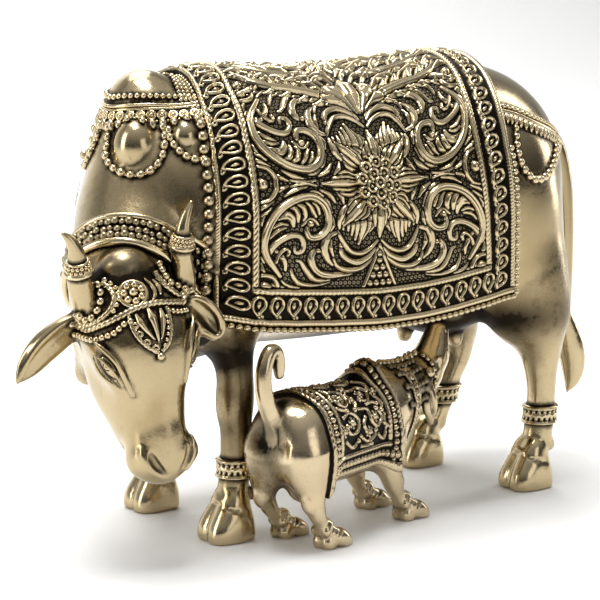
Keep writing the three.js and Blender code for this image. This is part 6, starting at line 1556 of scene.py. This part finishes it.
# painted shade on the poll between the horns, in the far ear's hollow and on the top of the head
c = shade_and_patina_spots(V, c, [(head_to([(-2, 0, 6)])[0], (11, 8, 11), 0.42), (head_to([(18.4, 21.0, 7.4)])[0], (3, 3, 3), 0.4), (head_to([(4, 0, 9)])[0], (9, 9, 7), 0.3)])
eyes = Kit()
for sd in (-1, 1):
    p = ((V - head_to([(24.8, sd * 14.2, 7.0)])[0]) ** 2).sum(1)
    c = np.where(p < 64, c * (0.35 + 0.65 * np.clip(p / 64, 0, 1)), c)
    # eyeball: a bulging lens with the iris ring and the pupil cut into it
    ce, ne = snap(head, head_to([(24.6, sd * 14.9, 6.4)]), 0.0)
    ce, ne = ce[0], ne[0]
    ux = head_to([(.86, -sd * .5, 0)])[0] - head_to([(0, 0, 0)])[0]
    ux -= ne * (ux @ ne)
    ux /= np.linalg.norm(ux)
    uy = np.cross(ne, ux)
    rho, phi = np.linspace(0, 1, 26)[:, None], (np.arange(44) * 2 * math.pi / 44)[None]
    px, py = 4.0 * rho * np.cos(phi), 1.95 * rho * np.sin(phi)
    ir = np.hypot(px + .5, py) / 1.25
    cut_iris = 0.16 * np.exp(-((ir - 1) / .17) ** 2) + 0.22 * np.exp(-(ir / .34) ** 2)
    E = ce + px[..., None] * ux + py[..., None] * uy + (1.25 * np.sqrt(np.clip(1 - rho ** 2, 0, 1)) - 0.25 - cut_iris)[..., None] * ne
    # dark in the cut iris ring and pupil, and painted shade round the edge of the ball where the lids close over it
    dark = np.clip(0.95 * np.exp(-((ir - 1) / .2) ** 2) + 0.95 * np.exp(-(ir / .36) ** 2) + 0.9 * np.clip((rho - .86) / .14, 0, 1), 0, 1)
    ring_q = [[i * 44 + j, (i + 1) * 44 + j, (i + 1) * 44 + (j + 1) % 44, i * 44 + (j + 1) % 44] for i in range(25) for j in range(44)]
    eyes.add(E.reshape(-1, 3), np.array(ring_q), None, dark.ravel())
    # painted shade: a dark line on the face along the crease round the eyeball
    rim = ce + 4.3 * np.cos(phi[0])[:, None] * ux + 2.25 * np.sin(phi[0])[:, None] * uy
    kd = KDTree(len(rim))
    for i, q in enumerate(rim):
        kd.insert(q, i)
    kd.balance()
    for i in np.where(p < 49)[0]:
        d = kd.find(V[i])[2]
        if d < 0.9:
            c[i] = max(c[i], 0.85 * (1 - d / 0.9) ** .6)
HS = lambda p, r, k: (head_to([p])[0], r, k)
# painted shade and dark reflection: a light veil over the whole head, deeper down the far side of the face, beside the
# near nostril, on the nose bridge, by the near horn, on the forehead and the near cheek
painted_shade = shade_and_patina_spots(V, np.zeros(len(V)), [HS((30, 0, 4), (60, 60, 60), 0.32), HS((30, 13, 0), (5, 9, 18), 0.6), HS((47, -8.8, 2), (5, 3.2, 5), 0.9), HS((41.0, -3, 5), (2.4, 7, 5), 0.6), HS((16, -12, 8), (8, 9, 6), 0.5), HS((15, 0, 9), (14, 8, 7), 0.5), HS((22, -16, -6), (5, 8, 12), 0.35)])
make('cow_head', V, Q, None, c, MAT_BODY, "cow", N, {'painted_shade': painted_shade})
make_kit('cow_eyes', eyes, MAT_BODY, "cow")
make_kit('cow_ornaments', ornament, MAT_CARVED, "cow")
make_kit('cow_head_ornaments', jewel, MAT_CARVED, "cow")
make_kit('cloth_beads', near, MAT_CARVED, "cow")

S = field_sheet()
patina_and_shade = cavity(S.H, S.ground)
st = 0.285
cloth_piece('cloth_near_front', S, patina_and_shade, -54.9, 0.0, -0.3, 102.6, st, 1, MAT_CARVED, 6.5)
cloth_piece('cloth_near_rear', S, patina_and_shade, -0.02, 54.6, -0.3, 102.6, st, 1, MAT_CARVED)
cloth_piece('cloth_far', S, patina_and_shade, -54.9, 54.6, 0.0, 102.6, 0.42, -1, MAT_CARVED, 6.5)

calf = Field([axis((-64, 34, 0.55)), axis((-60, -8, 0.55)), axis((-1.5, 70, 0.55))])
calf_field(calf)
sl, X, Y, Z = calf.box((-200, -200, -9), (200, 200, 3))
calf.F[sl] = np.maximum(calf.F[sl], -Z)
shape = calf.F.shape
G = np.stack(np.meshgrid(*calf.ax, indexing='ij'), -1).reshape(-1, 3)
near_surface = np.abs(calf.F.ravel()) < 3
gap = np.full(len(G), -9.0, np.float32)
gap[near_surface] = 0.5 - solid_body.sample(G[near_surface])
calf.F = np.maximum(calf.F, gap.reshape(shape))
V, Q, N = calf.nets()
calf_kit = Kit()
calf_jewels(calf_kit, calf)
CR = lambda L: [(calf_to(p), r, k) for p, r, k in L]
# painted shade and dark reflection: between the hind legs, under belly and chest, round the tail, on neck, throat and
# shoulders, and by the hooves
c = shade_and_patina_spots(V, ao(calf, V, N), CR([((-14, 0, 30), (8, 8, 12), 0.4), ((4, 0, 20), (10, 14, 8), 0.3), ((34, 0, 22), (9, 12, 7), 0.35), ((-10, 9, 18), (7, 7, 12), 0.28), ((-14, 0, 48), (5, 5, 5), 0.35), ((52, 0, 32), (8, 10, 8), 0.35), ((47, 0, 43), (10, 14, 9), 0.3), ((-17, 8, 34), (7, 9, 12), 0.35), ((44, 0, 47), (16, 12, 9), 0.42), ((-15, 0, 42), (6, 6, 6), 0.5), ((0, -9, 3), (5, 5, 3.4), 0.25), ((1, 9, 3), (5, 5, 4), 0.35), ((42, 0, 3), (6, 14, 3.4), 0.25), ((36, 0, 40), (5, 14, 14), 0.3)]))
c = contact_shade(V, c, calf_kit, 2.0)
make('calf_body', V, Q, None, c, MAT_CALF, "calf", N)
make_kit('calf_ornaments', calf_kit, MAT_CALF, "calf")
calf_cloth(calf, 'calf_cloth_near', -1, MAT_CALF, 0.3)
calf_cloth(calf, 'calf_cloth_far', 1, MAT_CALF, 0.45)

# ------------------------------------------------------------------ floor, light, camera
def plain(name, color, rough):
    m = bpy.data.materials.new(name)
    m.use_nodes = True
    b = m.node_tree.nodes['Principled BSDF']
    b.inputs['Base Color'].default_value = color + (1,)
    b.inputs['Roughness'].default_value = rough
    return m


me = bpy.data.meshes.new('floor')
ys, zs = [-3.0, 0.9], [0.0, 0.0]
for k in range(1, 13):
    t = k / 12 * math.pi / 2
    ys.append(0.9 + 0.6 * math.sin(t)); zs.append(0.6 - 0.6 * math.cos(t))
ys.append(1.5); zs.append(3.0)
rows = [(x, y, z) for y, z in zip(ys, zs) for x in (-3.0, 3.0)]
me.from_pydata(rows, [], [(2 * i, 2 * i + 1, 2 * i + 3, 2 * i + 2) for i in range(len(ys) - 1)])
me.polygons.foreach_set('use_smooth', [True] * len(me.polygons))
floor = bpy.data.objects.new('floor', me)
me.materials.append(plain('floor_white', (0.93, 0.93, 0.92), 0.6))
bpy.context.scene.collection.objects.link(floor)


def lamp(name, loc, target, w, h, power, color=(1, 1, 1)):
    l = bpy.data.lights.new(name, 'AREA')
    l.shape = 'RECTANGLE'
    l.size, l.size_y = w, h
    l.energy = power
    l.color = color
    o = bpy.data.objects.new(name, l)
    z = np.array(loc, float) - np.array(target, float)
    z /= np.linalg.norm(z)
    x = np.cross([0, 0, 1.0], z)
    x /= np.linalg.norm(x)
    y = np.cross(z, x)
    M = Matrix.Identity(4)
    for i in range(3):
        M[i][0], M[i][1], M[i][2], M[i][3] = x[i], y[i], z[i], loc[i]
    o.matrix_world = M
    bpy.context.scene.collection.objects.link(o)
    return o


world = bpy.data.worlds.new('studio')
world.use_nodes = True
wn = world.node_tree
bg = wn.nodes['Background']
wt, ws, wr = wn.nodes.new('ShaderNodeTexCoord'), wn.nodes.new('ShaderNodeSeparateXYZ'), wn.nodes.new('ShaderNodeValToRGB')
wn.links.new(wt.outputs['Generated'], ws.inputs[0])
wn.links.new(ws.outputs[2], wr.inputs[0])
for e, (pos, val) in zip(wr.color_ramp.elements, ((0.10, 0.05), (0.85, 0.55))):
    e.position, e.color = pos, (val, val, val, 1)
wn.links.new(wr.outputs[0], bg.inputs[0])
bg.inputs[1].default_value = 1.0
bpy.context.scene.world = world
bpy.context.scene.view_settings.view_transform = 'Standard'
aim = (0, 0, 0.07)
lamp('top', (-0.10, 0.0, 1.1), aim, 0.5, 0.35, 8.5)
lamp('left', (-1.05, 0.15, 0.45), aim, 0.35, 0.9, 4.5)
lamp('right', (1.05, 0.12, 0.40), aim, 0.22, 0.9, 3.0)
lamp('front', (0.25, -1.15, 0.35), aim, 0.55, 0.6, 1.3)
lamp('back', (0.3, 1.0, 1.1), (0, 1.2, 0.2), 1.4, 0.8, 11)

az, el = math.radians(-33), math.radians(11)
back = np.array([math.sin(az) * math.cos(el), -math.cos(az) * math.cos(el), math.sin(el)])
right = np.array([math.cos(az), math.sin(az), 0.0])
up = np.cross(back, right)
cam = bpy.data.cameras.new('camera')
cam.sensor_width = 36
cam.sensor_fit = 'HORIZONTAL'
cam.lens = 2745 / 600 * 36
cam.clip_start, cam.clip_end = 0.05, 20
co = bpy.data.objects.new('camera', cam)
at = np.array([-0.4234, 6.9861, 69.0]) * 0.001 + back * 0.9
M = Matrix.Identity(4)
for i in range(3):
    M[i][0], M[i][1], M[i][2], M[i][3] = right[i], up[i], back[i], at[i]
co.matrix_world = M
bpy.context.scene.collection.objects.link(co)
bpy.context.scene.camera = co
